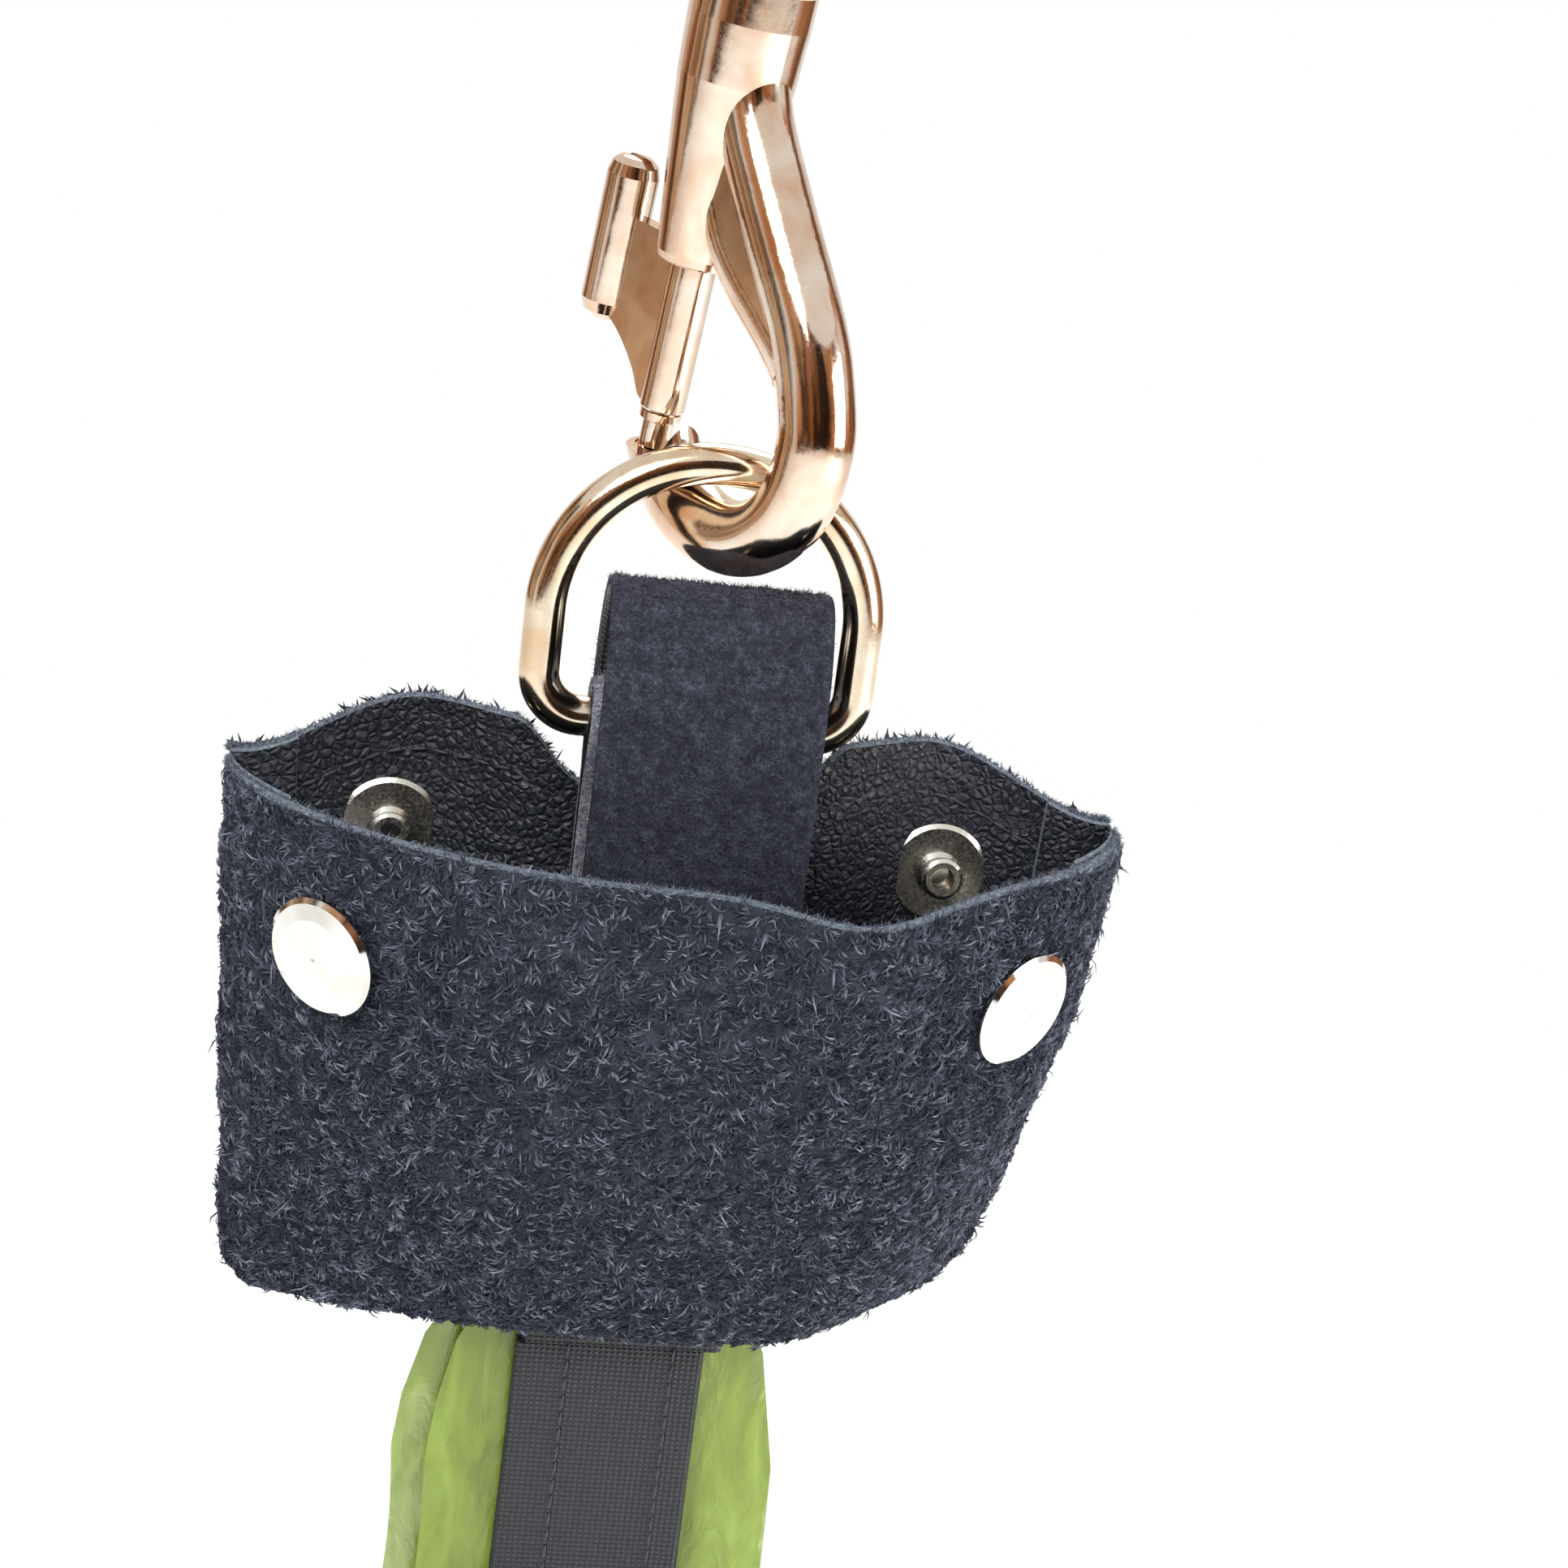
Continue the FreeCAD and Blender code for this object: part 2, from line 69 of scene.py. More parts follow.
# ---------------------------------------------------------------- sizes shared with the source
FOLD_Z = -94.0
WEB_W, WEB_T, PILE_T = 25.0, 1.5, 1.1
STRAP_W, STRAP_X = 26.6, 1.4
WIRE_R, FREE, BAR_Z = 2.5, 0.3, -113.9
MOUTH_HALF, FOOT_HALF = 55.0, 51.5
MOUTH_Z, FOOT_Z = FOLD_Z - 29.5, FOLD_Z - 103.0
FRONT_DEPTH, FRONT_BUMP, BACK_LOBE = 28.0, 4.5, 8.3
BEND_FOOT, BEND_SLOPE = 16.0, 0.6
HIDE_T, SEAM_T, SEAM_W, BACK_FLAT = 1.9, 1.2, 8.0, 2.8
TAPE_T = WEB_T + PILE_T
KEEP_R = WIRE_R + FREE
KEEP_FOOT = BAR_Z - 24.0
TONGUE_Z = BAR_Z - KEEP_R - 5.3
FRONT_LEG = -(KEEP_R + WEB_T + PILE_T) - 2.8
BACK_LEG = BACK_FLAT + HIDE_T + 0.25
TAIL_END, BAG_END = FOLD_Z - 185.0, FOLD_Z - 190.0
FOLD_AXIS = Vector((0.462, -0.186, 0.867)).normalized()
FOLD_POINT = Vector((MOUTH_HALF + 6.7, 4.5, FOLD_Z - 52.85))
FOLD_ANGLE = 43.1
STUD = Vector((MOUTH_HALF - 20, 3.5, FOLD_Z - 38.75))
STUD_PITCH = 7.0
CORNER_R = 9.0


# ---------------------------------------------------------------- materials
def colour(code):
    """sRGB hex to linear RGBA."""
    parts = [int(code[i:i + 2], 16) / 255 for i in (1, 3, 5)]
    return [c / 12.92 if c < 0.04045 else ((c + 0.055) / 1.055) ** 2.4 for c in parts] + [1.0]


def add(tree, kind, inputs=None, **settings):
    """Adds a node with its settings; an input is a value or another node's socket."""
    node = tree.nodes.new(kind)
    for name, value in settings.items():
        setattr(node, name, value)
    for name, value in (inputs or {}).items():
        if isinstance(value, bpy.types.NodeSocket):
            tree.links.new(value, node.inputs[name])
        else:
            node.inputs[name].default_value = value
    return node


def begin(name, **sockets):
    """A new material with its shader's plain values set; returns it, its tree and the shader."""
    made = bpy.data.materials.new(name)
    made.use_nodes = True
    shader = made.node_tree.nodes["Principled BSDF"]
    for key, value in sockets.items():
        shader.inputs[key.replace("_", " ")].default_value = value
    return made, made.node_tree, shader


def ramp(tree, factor, *stops):
    """Colour ramp from (position, hex) stops."""
    node = add(tree, "ShaderNodeValToRGB", {"Fac": factor})
    while len(node.color_ramp.elements) < len(stops):
        node.color_ramp.elements.new(0.5)
    for element, (place, code) in zip(node.color_ramp.elements, stops):
        element.position, element.color = place, colour(code)
    return node.outputs["Color"]


def span(tree, value, low, high, out_low, out_high):
    """Maps a value from one range to another, clamped."""
    return add(tree, "ShaderNodeMapRange", {"Value": value, "From Min": low, "From Max": high,
                                            "To Min": out_low, "To Max": out_high}).outputs["Result"]


def speckle(tree, where, size, detail=2.0, rough=0.5, lift=0.0):
    """Noise with features of the given size in mm."""
    return add(tree, "ShaderNodeTexNoise", {"Vector": where, "Scale": 1 / (size * MM), "Detail": detail,
                                            "Roughness": rough, "Distortion": lift}).outputs["Fac"]


def relief(tree, shader, height, depth, normal=None):
    """Bump of the given depth in mm on the shader."""
    inputs = {"Height": height, "Distance": depth * MM, "Strength": 1.0}
    if normal:
        inputs["Normal"] = normal
    bump = add(tree, "ShaderNodeBump", inputs)
    tree.links.new(bump.outputs["Normal"], shader.inputs["Normal"])
    return bump.outputs["Normal"]


def nickel(name, light, warm, wear, grain):
    """Bright nickel plate: mirror-like, with a base colour clouded in patches of about 9 mm
    towards a warm tint that is a painted reflection of a warm room, and a polish that is uneven at about
    0.35 mm."""
    made, tree, shader = begin(name, Metallic=1.0)
    place = add(tree, "ShaderNodeTexCoord").outputs["Object"]
    warm_reflection_mask = speckle(tree, place, 9.0, 3.0, 0.55, 0.6)
    # painted reflection: the base colour is clouded between the plate's colour and a warm tint standing in
    # for the warm room seen in the metal
    tree.links.new(ramp(tree, warm_reflection_mask, (0.38, light), (0.66, warm)), shader.inputs["Base Color"])
    fine = speckle(tree, place, 0.35, 2.0, 0.6)
    tree.links.new(span(tree, fine, 0.3, 0.75, wear * 0.6, wear * 1.5), shader.inputs["Roughness"])
    ripple = speckle(tree, place, grain, 1.0)
    relief(tree, shader, ripple, 0.035)
    return made


def spring_wire():
    """Spring steel wire, satin, with a fine speckle."""
    made, tree, shader = begin("spring_steel_wire", Metallic=1.0)
    place = add(tree, "ShaderNodeTexCoord").outputs["Object"]
    tree.links.new(ramp(tree, speckle(tree, place, 0.6), (0.3, "#8C8A86"), (0.7, "#B4B1AB")),
                   shader.inputs["Base Color"])
    tree.links.new(span(tree, speckle(tree, place, 0.2), 0.3, 0.7, 0.25, 0.45), shader.inputs["Roughness"])
    return made


def suede():
    """Split-side suede, dyed charcoal blue: matt, nap lying in 1 to 3 mm tufts, paler where the
    fibres are brushed up, soft sheen at grazing angles; the colour is kept darker than the fibres on it, as
    painted shade in the gaps between them."""
    made, tree, shader = begin("charcoal_suede", Roughness=0.95, Specular_IOR_Level=0.2,
                               Sheen_Weight=0.35, Sheen_Roughness=0.5, Sheen_Tint=colour("#8E97A6"))
    place = add(tree, "ShaderNodeTexCoord").outputs["Object"]
    tufts = speckle(tree, place, 1.6, 4.0, 0.65, 1.2)
    fibre = speckle(tree, place, 0.35, 3.0, 0.7, 0.8)
    broad = speckle(tree, place, 16.0, 2.0)
    mixed = add(tree, "ShaderNodeMath", {0: tufts, 1: fibre}, operation="ADD").outputs[0]
    mixed = add(tree, "ShaderNodeMath", {0: mixed, 1: broad}, operation="ADD").outputs[0]
    # painted shade: the hide under the fibres is coloured darker than they are, for the gaps between them
    tree.links.new(ramp(tree, span(tree, mixed, 1.1, 1.95, 0.0, 1.0), (0.0, "#15171F"), (0.45, "#2B2E39"),
                        (1.0, "#4A4E5A")), shader.inputs["Base Color"])
    relief(tree, shader, mixed, 0.9)
    return made


def nap_fibre():
    """Single fibres of the same suede, each its own colour, darkened by half towards the root as painted
    shade where the fibres shade one another.
    """
    made, tree, shader = begin("suede_fibre", Roughness=0.85, Specular_IOR_Level=0.25,
                               Sheen_Weight=0.25, Sheen_Tint=colour("#9AA3B2"))
    # the attribute holds each fibre's own colour value, halved towards the root as painted shade
    tone_and_root_shade = add(tree, "ShaderNodeAttribute", attribute_name="tone_and_root_shade").outputs["Fac"]
    tree.links.new(ramp(tree, tone_and_root_shade, (0.0, "#14161E"), (0.3, "#2A2D39"), (0.6, "#474C59"),
                        (0.85, "#696E7A"), (1.0, "#8E929B")),
                   shader.inputs["Base Color"])
    return made


def cut_edge():
    """Cut edge of the hide: core tinted blue-grey, felted in patches of about 0.5 mm."""
    made, tree, shader = begin("cut_hide_edge", Roughness=0.9, Specular_IOR_Level=0.2,
                               Sheen_Weight=0.3, Sheen_Tint=colour("#A8B6C2"))
    place = add(tree, "ShaderNodeTexCoord").outputs["Object"]
    felt = speckle(tree, place, 0.5, 4.0, 0.7, 0.5)
    tree.links.new(ramp(tree, felt, (0.25, "#363D47"), (0.5, "#5E6872"), (0.75, "#8D979F")),
                   shader.inputs["Base Color"])
    relief(tree, shader, felt, 0.6)
    return made


def grain_leather():
    """Finished grain side: black aniline leather, pebbles about 1.1 mm with creases between,
    semi-gloss on the pebbles and duller in the creases, where the colour is darker as painted shade."""
    made, tree, shader = begin("black_grain_leather", Specular_IOR_Level=0.5)
    place = add(tree, "ShaderNodeTexCoord").outputs["Object"]
    warped = add(tree, "ShaderNodeTexNoise", {"Vector": place, "Scale": 1 / (2.2 * MM), "Detail": 2.0})
    moved = add(tree, "ShaderNodeVectorMath", {0: warped.outputs["Color"], 1: (0.0011, 0.0011, 0.0011)},
                operation="MULTIPLY").outputs[0]
    where = add(tree, "ShaderNodeVectorMath", {0: place, 1: moved}, operation="ADD").outputs[0]
    cell = add(tree, "ShaderNodeTexVoronoi", {"Vector": where, "Scale": 1 / (1.15 * MM)},
               feature="DISTANCE_TO_EDGE").outputs["Distance"]
    pebble = span(tree, cell, 0.0, 0.28, 0.0, 1.0)
    crease = speckle(tree, place, 6.0, 5.0, 0.6, 2.0)
    # painted shade: the creases between the pebbles are coloured darker than the pebble tops
    tree.links.new(ramp(tree, pebble, (0.0, "#13161E"), (1.0, "#262A35")), shader.inputs["Base Color"])
    tree.links.new(span(tree, pebble, 0.0, 1.0, 0.58, 0.4), shader.inputs["Roughness"])
    total = add(tree, "ShaderNodeMath", {0: crease, 1: 3.5, 2: pebble}, operation="MULTIPLY_ADD").outputs[0]
    relief(tree, shader, total, 0.24)
    return made


def webbing():
    """Black webbing: filament yarns with a low gloss and dust in patches of about 3 mm; painted shade
    between the yarns and a painted highlight on the knuckles.
    """
    made, tree, shader = begin("black_webbing", Specular_IOR_Level=0.5)
    uv = add(tree, "ShaderNodeUVMap").outputs["UV"]
    split = add(tree, "ShaderNodeSeparateXYZ", {"Vector": uv})
    waves = []
    for axis, pitch in (("X", WARP), ("Y", WEFT)):
        angle = add(tree, "ShaderNodeMath", {0: split.outputs[axis], 1: math.pi / (pitch * MM)},
                    operation="MULTIPLY").outputs[0]
        waves.append(add(tree, "ShaderNodeMath", {0: angle}, operation="SINE").outputs[0])
    cross = add(tree, "ShaderNodeMath", {0: waves[0], 1: waves[1]}, operation="MULTIPLY").outputs[0]
    knuckle = add(tree, "ShaderNodeMath", {0: cross}, operation="ABSOLUTE").outputs[0]
    place = add(tree, "ShaderNodeTexCoord").outputs["Object"]
    dust = speckle(tree, place, 3.0, 4.0, 0.6)
    # painted highlight and shade: the knuckles are coloured paler and the hollows between the yarns darker,
    # mixed with random dust
    dust_and_knuckle_light = add(tree, "ShaderNodeMath", {0: dust, 1: 0.5, 2: knuckle}, operation="MULTIPLY_ADD").outputs[0]
    tree.links.new(ramp(tree, dust_and_knuckle_light, (0.15, "#090A0E"), (0.75, "#14161D"), (1.2, "#252732")),
                   shader.inputs["Base Color"])
    tree.links.new(span(tree, cross, -1.0, 1.0, 0.55, 0.34), shader.inputs["Roughness"])
    filament = add(tree, "ShaderNodeTexNoise", {"Vector": place, "Scale": 1 / (0.25 * MM), "Detail": 2.0})
    total = add(tree, "ShaderNodeMath", {0: filament.outputs["Fac"], 1: 0.3, 2: knuckle},
                operation="MULTIPLY_ADD").outputs[0]
    relief(tree, shader, total, 0.16)
    return made


def pile(name, dark, middle, pale):
    """Brushed loop pile of a hook-and-loop tape: nylon loops 0.4 mm across in soft drifts."""
    made, tree, shader = begin(name, Roughness=0.9, Specular_IOR_Level=0.25, Sheen_Weight=0.5,
                               Sheen_Roughness=0.4, Sheen_Tint=colour("#7C7F98"))
    place = add(tree, "ShaderNodeTexCoord").outputs["Object"]
    drift = speckle(tree, place, 1.8, 3.0, 0.6, 1.0)
    loop = speckle(tree, place, 0.4, 2.0, 0.7)
    mixed = add(tree, "ShaderNodeMath", {0: drift, 1: loop}, operation="ADD").outputs[0]
    tree.links.new(ramp(tree, span(tree, mixed, 0.65, 1.35, 0.0, 1.0), (0.0, dark), (0.5, middle),
                        (1.0, pale)), shader.inputs["Base Color"])
    relief(tree, shader, mixed, 0.3)
    return made


def pile_fibre(name, dark, middle, pale):
    """The loose loops of a pile, each its own colour, darkened towards the root as painted shade."""
    made, tree, shader = begin(name, Roughness=0.7, Specular_IOR_Level=0.35, Sheen_Weight=0.4,
                               Sheen_Tint=colour("#8A8DA8"))
    tone_and_root_shade = add(tree, "ShaderNodeAttribute", attribute_name="tone_and_root_shade").outputs["Fac"]
    tree.links.new(ramp(tree, tone_and_root_shade, (0.0, dark), (0.6, middle), (1.0, pale)), shader.inputs["Base Color"])
    return made


def thread():
    """Black sewing thread: two dark tones in a speckle of about 0.3 mm."""
    made, tree, shader = begin("black_thread", Roughness=0.5, Sheen_Weight=0.2)
    place = add(tree, "ShaderNodeTexCoord").outputs["Object"]
    twist = speckle(tree, place, 0.3, 2.0, 0.5, 1.0)
    tree.links.new(ramp(tree, twist, (0.3, "#14151B"), (0.7, "#34363F")), shader.inputs["Base Color"])
    relief(tree, shader, twist, 0.08)
    return made


def film():
    """Lime green film, waxy and a little translucent, with creases about 5 mm wide that run
    down it; the colour follows the creases, darker in their troughs as painted shade and paler on their
    crests as painted highlight."""
    made, tree, shader = begin("green_film", Roughness=0.3, Transmission_Weight=0.35, IOR=1.5,
                               Subsurface_Weight=0.0, Coat_Weight=0.25, Coat_Roughness=0.2)
    place = add(tree, "ShaderNodeTexCoord").outputs["Object"]
    stretched = add(tree, "ShaderNodeMapping", {"Vector": place, "Scale": (1.0, 1.0, 0.3)}).outputs["Vector"]
    crease = speckle(tree, stretched, 5.0, 4.0, 0.55, 1.5)
    # painted shade and highlight: the crease field of the bump colours the troughs darker and the crests
    # paler
    tree.links.new(ramp(tree, crease, (0.25, "#788C2A"), (0.5, "#879D33"), (0.75, "#9DB448")),
                   shader.inputs["Base Color"])
    tree.links.new(span(tree, crease, 0.3, 0.7, 0.2, 0.36), shader.inputs["Roughness"])
    relief(tree, shader, crease, 0.3)
    return made


WARP, WEFT = 0.78, 0.72          # yarn spacing across and along the webbing


def give(obj, *materials):
    """Sets the materials; clearing an empty list would reset which face has which."""
    if len(obj.data.materials):
        obj.data.materials.clear()
    for made in materials:
        obj.data.materials.append(made)


# ---------------------------------------------------------------- meshes
def mesh_piece(name, points, faces, body, uv=None, groups=None, tone_and_root_shade=None):
    """A piece from points in mm and quads or triangles; groups gives each face's material."""
    data = bpy.data.meshes.new(name)
    data.from_pydata([tuple(p) for p in np.asarray(points, float) * MM], [], faces)
    if groups is not None:
        data.polygons.foreach_set("material_index", np.asarray(groups, np.int32))
    if tone_and_root_shade is not None:
        attribute = data.attributes.new("tone_and_root_shade", "FLOAT", "POINT")
        attribute.data.foreach_set("value", np.asarray(tone_and_root_shade, np.float32))
    if uv is not None:
        layer = data.uv_layers.new(name="UVMap")
        corner = np.empty(len(data.loops), np.int32)
        data.loops.foreach_get("vertex_index", corner)
        layer.data.foreach_set("uv", (np.asarray(uv, float)[corner] * MM).ravel().astype(np.float32))
    data.update()
    obj = bpy.data.objects.new(name, data)
    bpy.context.scene.collection.objects.link(obj)
    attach(obj, body)
    return obj


def smooth_shade(obj, angle=40):
    """Smooth shading with edges kept where faces meet at more than the angle."""
    for other in bpy.context.selected_objects:
        other.select_set(False)
    obj.select_set(True)
    bpy.context.view_layer.objects.active = obj
    bpy.ops.object.shade_smooth_by_angle(angle=math.radians(angle))


def shell(outer, inner, edge_rows=2):
    """Closed wall between two grids of points (rows x columns x 3): faces and their kind,
    0 outer, 1 rim and sides, 2 inner. The rim is rounded by edge_rows rows in between."""
    rows, cols = outer.shape[:2]
    points = [outer.reshape(-1, 3), inner.reshape(-1, 3)]
    count = rows * cols
    faces, kinds = [], []

    def put(a, b, c, d, kind):
        faces.append((a, b, c, d))
        kinds.append(kind)

    for i in range(rows - 1):
        for j in range(cols - 1):
            a, b, c, d = i * cols + j, i * cols + j + 1, (i + 1) * cols + j + 1, (i + 1) * cols + j
            put(a, b, c, d, 0)
            put(count + d, count + c, count + b, count + a, 2)
    border = ([j for j in range(cols)] + [i * cols + cols - 1 for i in range(1, rows)]
              + [(rows - 1) * cols + j for j in range(cols - 2, -1, -1)]
              + [i * cols for i in range(rows - 2, 0, -1)])
    flat_out, flat_in = points[0][border], points[1][border]
    middle = flat_out.mean(0)
    loops = [border]
    size = 2 * count
    for k in range(edge_rows):
        t = (k + 1) / (edge_rows + 1)
        away = flat_out - middle
        away /= np.linalg.norm(away, axis=1, keepdims=True)
        bulge = 0.25 * math.sin(math.pi * t)
        points.append(flat_out * (1 - t) + flat_in * t + away * bulge)
        loops.append(list(range(size, size + len(border))))
        size += len(border)
    loops.append([count + b for b in border])
    n = len(border)
    for near, far in zip(loops, loops[1:]):
        for k in range(n):
            put(near[(k + 1) % n], near[k], far[k], far[(k + 1) % n], 1)
    return np.concatenate(points), faces, kinds


# ---------------------------------------------------------------- the pouch's walls
def smooth(t):
    """Eases from 0 to 1 with flat ends."""
    t = np.clip(t, 0.0, 1.0)
    return t * t * (3 - 2 * t)


def edge_y(u):
    """Depth of the seam plane across the pouch."""
    t = np.clip((abs(u) - 0.25) / 0.75, 0, None)
    return BACK_FLAT - SEAM_T + 2.5 * t * t


def bump(u):
    """The fullness to the right of the middle."""
    return np.exp(-((u - 0.36) / 0.2) ** 2)


def front_gap(u, v):
    """How far the front wall stands out from the seam plane."""
    full = np.clip(1 - abs(u) ** 2.5, 0, None) ** 0.6
    return (FRONT_DEPTH * full + FRONT_BUMP * bump(u) * (1 - v)) * (1 - v ** 1.6)


def back_gap(u, v):
    """How far the back wall's two lobes stand out behind the seam plane."""
    t = np.clip((abs(u) - 0.25) / 0.75, 0, None)
    return BACK_LOBE * (1 - v) ** 1.2 * np.sin(math.pi * t) ** 2


def front_rim(u):
    """Height of the front mouth line."""
    return MOUTH_Z - 1.5 * np.cos(math.pi / 2 * u) ** 2 - 2.0 * bump(u)


def back_rim(u):
    """Height of the back mouth line, with a dip each side that leaves the ring room."""
    u = abs(u)
    return (MOUTH_Z + 7.0 * smooth((1 - u) / 0.45) * smooth((u - 0.22) / 0.16)
            + 1.5 * (1 - smooth(u / 0.3)))


def foot(u):
    """Height of the pouch's foot."""
    return FOOT_Z + 2.4 * u ** 2 - 0.8 * u


def wall_points(u, v, rim, side, depth):
    """Points of a wall's inner face moved depth outwards (side -1 front, +1 back)."""
    z = rim(u) + v * (foot(u) - rim(u))
    w = FOOT_HALF + (MOUTH_HALF - FOOT_HALF) * (z - FOOT_Z) / (MOUTH_Z - FOOT_Z)
    gap = front_gap if side < 0 else back_gap
    d = 0.01
    ua, ub = np.clip(u - d, -1, 1), np.clip(u + d, -1, 1)
    va, vb = np.clip(v - d, 0, 1), np.clip(v + d, 0, 1)
    slope = (edge_y(ub) + side * gap(ub, v) - edge_y(ua) - side * gap(ua, v)) / ((ub - ua) * w)
    tilt = side * (gap(u, vb) - gap(u, va)) / (2 * d * (foot(u) - rim(u)))
    thick = depth * np.sqrt(1 + np.minimum(abs(slope), 1.2) ** 2 + tilt * tilt)
    lower = np.clip(z - foot(np.ones_like(u)), 0, CORNER_R)
    turn = CORNER_R - np.sqrt(np.clip(CORNER_R ** 2 - (CORNER_R - lower) ** 2, 0, None))
    x = u * (w - turn)
    t = x - BEND_FOOT - 40.0 * (z - FOOT_Z) / (MOUTH_Z - FOOT_Z)
    t = np.where(t < 0, 0, np.where(t < 10, t * t / 20, t - 5))
    y = edge_y(u) + side * (SEAM_T + gap(u, v) + thick)
    return np.stack([x - 0.11 * t, y + BEND_SLOPE * t, z], axis=-1)


def opened(local):
    """A point or direction of the right press stud's own frame, at rest on the open front."""
    turn = Matrix.Rotation(math.radians(90 - STUD_PITCH), 4, "X")
    swing = (Matrix.Translation(FOLD_POINT) @ Matrix.Rotation(math.radians(FOLD_ANGLE), 4, FOLD_AXIS)
             @ Matrix.Translation(-FOLD_POINT))
    return swing @ Matrix.Translation(STUD) @ turn @ Vector(local)


CAP_SPOT = np.array(opened((0, 0, 0)))
CAP_AXIS = np.array(opened((0, 0, 1))) - CAP_SPOT


def dish(points, limit, sign):
    """Presses the hide flat under the cap (sign 1) or its socket (sign -1)."""
    for flip in (1, -1):
        spot, axis = CAP_SPOT * [flip, 1, 1], CAP_AXIS * [flip, 1, 1]
        rel = points - spot
        high = rel @ axis
        away = np.linalg.norm(rel - high[..., None] * axis, axis=-1)
        weight = smooth((10.5 - away) / 2.5) * (abs(high) < 12)
        excess = np.clip(sign * high - limit, 0, None) * sign * weight
        points = points - excess[..., None] * axis
    return points


def drift(points, size, depth, seed):
    """Smooth noise of the given feature size, as heights in mm."""
    flat = points.reshape(-1, 3)
    out = np.array([noise.noise(Vector(p / size) + Vector((seed, seed, seed))) for p in flat])
    return out.reshape(points.shape[:-1]) * depth


def normals_of(grid):
    """Unit normals of a grid of points."""
    a = np.gradient(grid, axis=0)
    b = np.gradient(grid, axis=1)
    n = np.cross(a, b)
    return n / np.linalg.norm(n, axis=-1, keepdims=True)


def hide(rim, side, u0, u1, v0=0.0, v1=1.0, d0=0.0, d1=HIDE_T, cols=200, rows=140, nap=True):
    """A wall of hide with its nap relief: points, faces, kinds, outer grid and outward normals."""
    a0, a1 = math.asin(u0), math.asin(u1)
    u = np.sin(np.linspace(a0, a1, cols))[None, :] * np.ones((rows, 1))
    v = np.linspace(v0, v1, rows)[:, None] * np.ones((1, cols))
    outer = wall_points(u, v, rim, side, d1)
    inner = wall_points(u, v, rim, side, d0)
    out = normals_of(outer)
    if (out[rows // 2, cols // 2, 1] > 0) != (side > 0):
        out = -out
    if nap:
        keep = smooth(v / 0.03) * smooth((1 - v) / 0.02)
        lift = drift(outer, 14.0, 0.7, 3.1) + drift(outer, 3.2, 0.35, 7.7) + drift(outer, 1.3, 0.3, 1.9)
        outer = outer + out * (lift * keep)[..., None]
        inner = inner + out * (drift(inner, 14.0, 0.7, 3.1) * keep * 0.8)[..., None]
    if side < 0:
        outer, inner = dish(outer, HIDE_T / 2 - 0.05, 1), dish(inner, HIDE_T / 2 - 0.05, -1)
    if side > 0:
        grids = outer, inner
    else:
        grids = outer[:, ::-1], inner[:, ::-1]
    points, faces, kinds = shell(*grids)
    return points, faces, kinds, outer, out


def fibres(points, normals, lengths, widths, lean, heading, tones, bow=0.0):
    """Closed three-sided fibres that stand up at the root and bend over by bow at the tip."""
    n = len(points)
    helper = np.where(abs(normals[:, 2:3]) < 0.9, [[0.0, 0.0, 1.0]], [[1.0, 0.0, 0.0]])
    east = np.cross(helper, normals)
    east /= np.linalg.norm(east, axis=1, keepdims=True)
    north = np.cross(normals, east)
    flat = east * np.cos(heading)[:, None] + north * np.sin(heading)[:, None]
    side = np.cross(flat, normals)
    reach, w = lengths[:, None], widths[:, None]

    def way(angle):
        return flat * np.cos(angle)[:, None] + normals * np.sin(angle)[:, None]

    def ring(middle, scale, up):
        return [middle + side * w * scale, middle - side * w * scale, middle + up * w * 1.5 * scale]

    first, second = way(lean + bow * 0.5), way(lean - bow * 0.5)
    root = points - first * 0.12 * reach
    if bow:
        knee = points + first * 0.45 * reach
        corners = (ring(root, 1.0, normals) + ring(knee, 0.85, normals)
                   + [knee + second * 0.55 * reach])
        form = ((0, 1, 2), (0, 4, 1), (0, 3, 4), (1, 5, 2), (1, 4, 5), (2, 3, 0), (2, 5, 3),
                (3, 6, 4), (4, 6, 5), (5, 6, 3))
    else:
        corners = ring(root, 1.0, normals) + [points + first * reach]
        form = ((0, 1, 2), (0, 3, 1), (1, 3, 2), (2, 3, 0))
    size = len(corners)
    verts = np.stack(corners, axis=1).reshape(-1, 3)
    tris = (np.arange(n)[:, None, None] * size + np.array(form)[None]).reshape(-1, 3)
    # painted shade: each fibre's colour value is halved at its root and climbs to full at its tip
    root_shade_scale = np.array([0.5] * 3 + ([0.85] * 3 if bow else []) + [1.0])
    return verts, outwards(verts, tris, size, len(form)), (tones[:, None] * root_shade_scale).ravel()


def outwards(verts, tris, size, count):
    """Turns each fibre's triangles away from its own middle line."""
    quad = verts.reshape(-1, size, 3)
    corner = verts[tris]
    centre = corner.mean(1)
    heart = quad.mean(1) if size == 4 else (quad[:, :3].mean(1) + quad[:, 3:6].mean(1)) / 2
    heart = np.repeat(heart, count, 0)
    if size > 4:
        near_tip = np.tile(np.arange(count) >= count - 3, len(quad))
        heart[near_tip] = np.repeat((quad[:, 3:6].mean(1) * 3 + quad[:, 6]) / 4, 3, 0)
    normal = np.cross(corner[:, 1] - corner[:, 0], corner[:, 2] - corner[:, 0])
    inward = ((centre - heart) * normal).sum(1) < 0
    tris = tris.copy()
    tris[inward] = tris[inward][:, ::-1]
    return tris


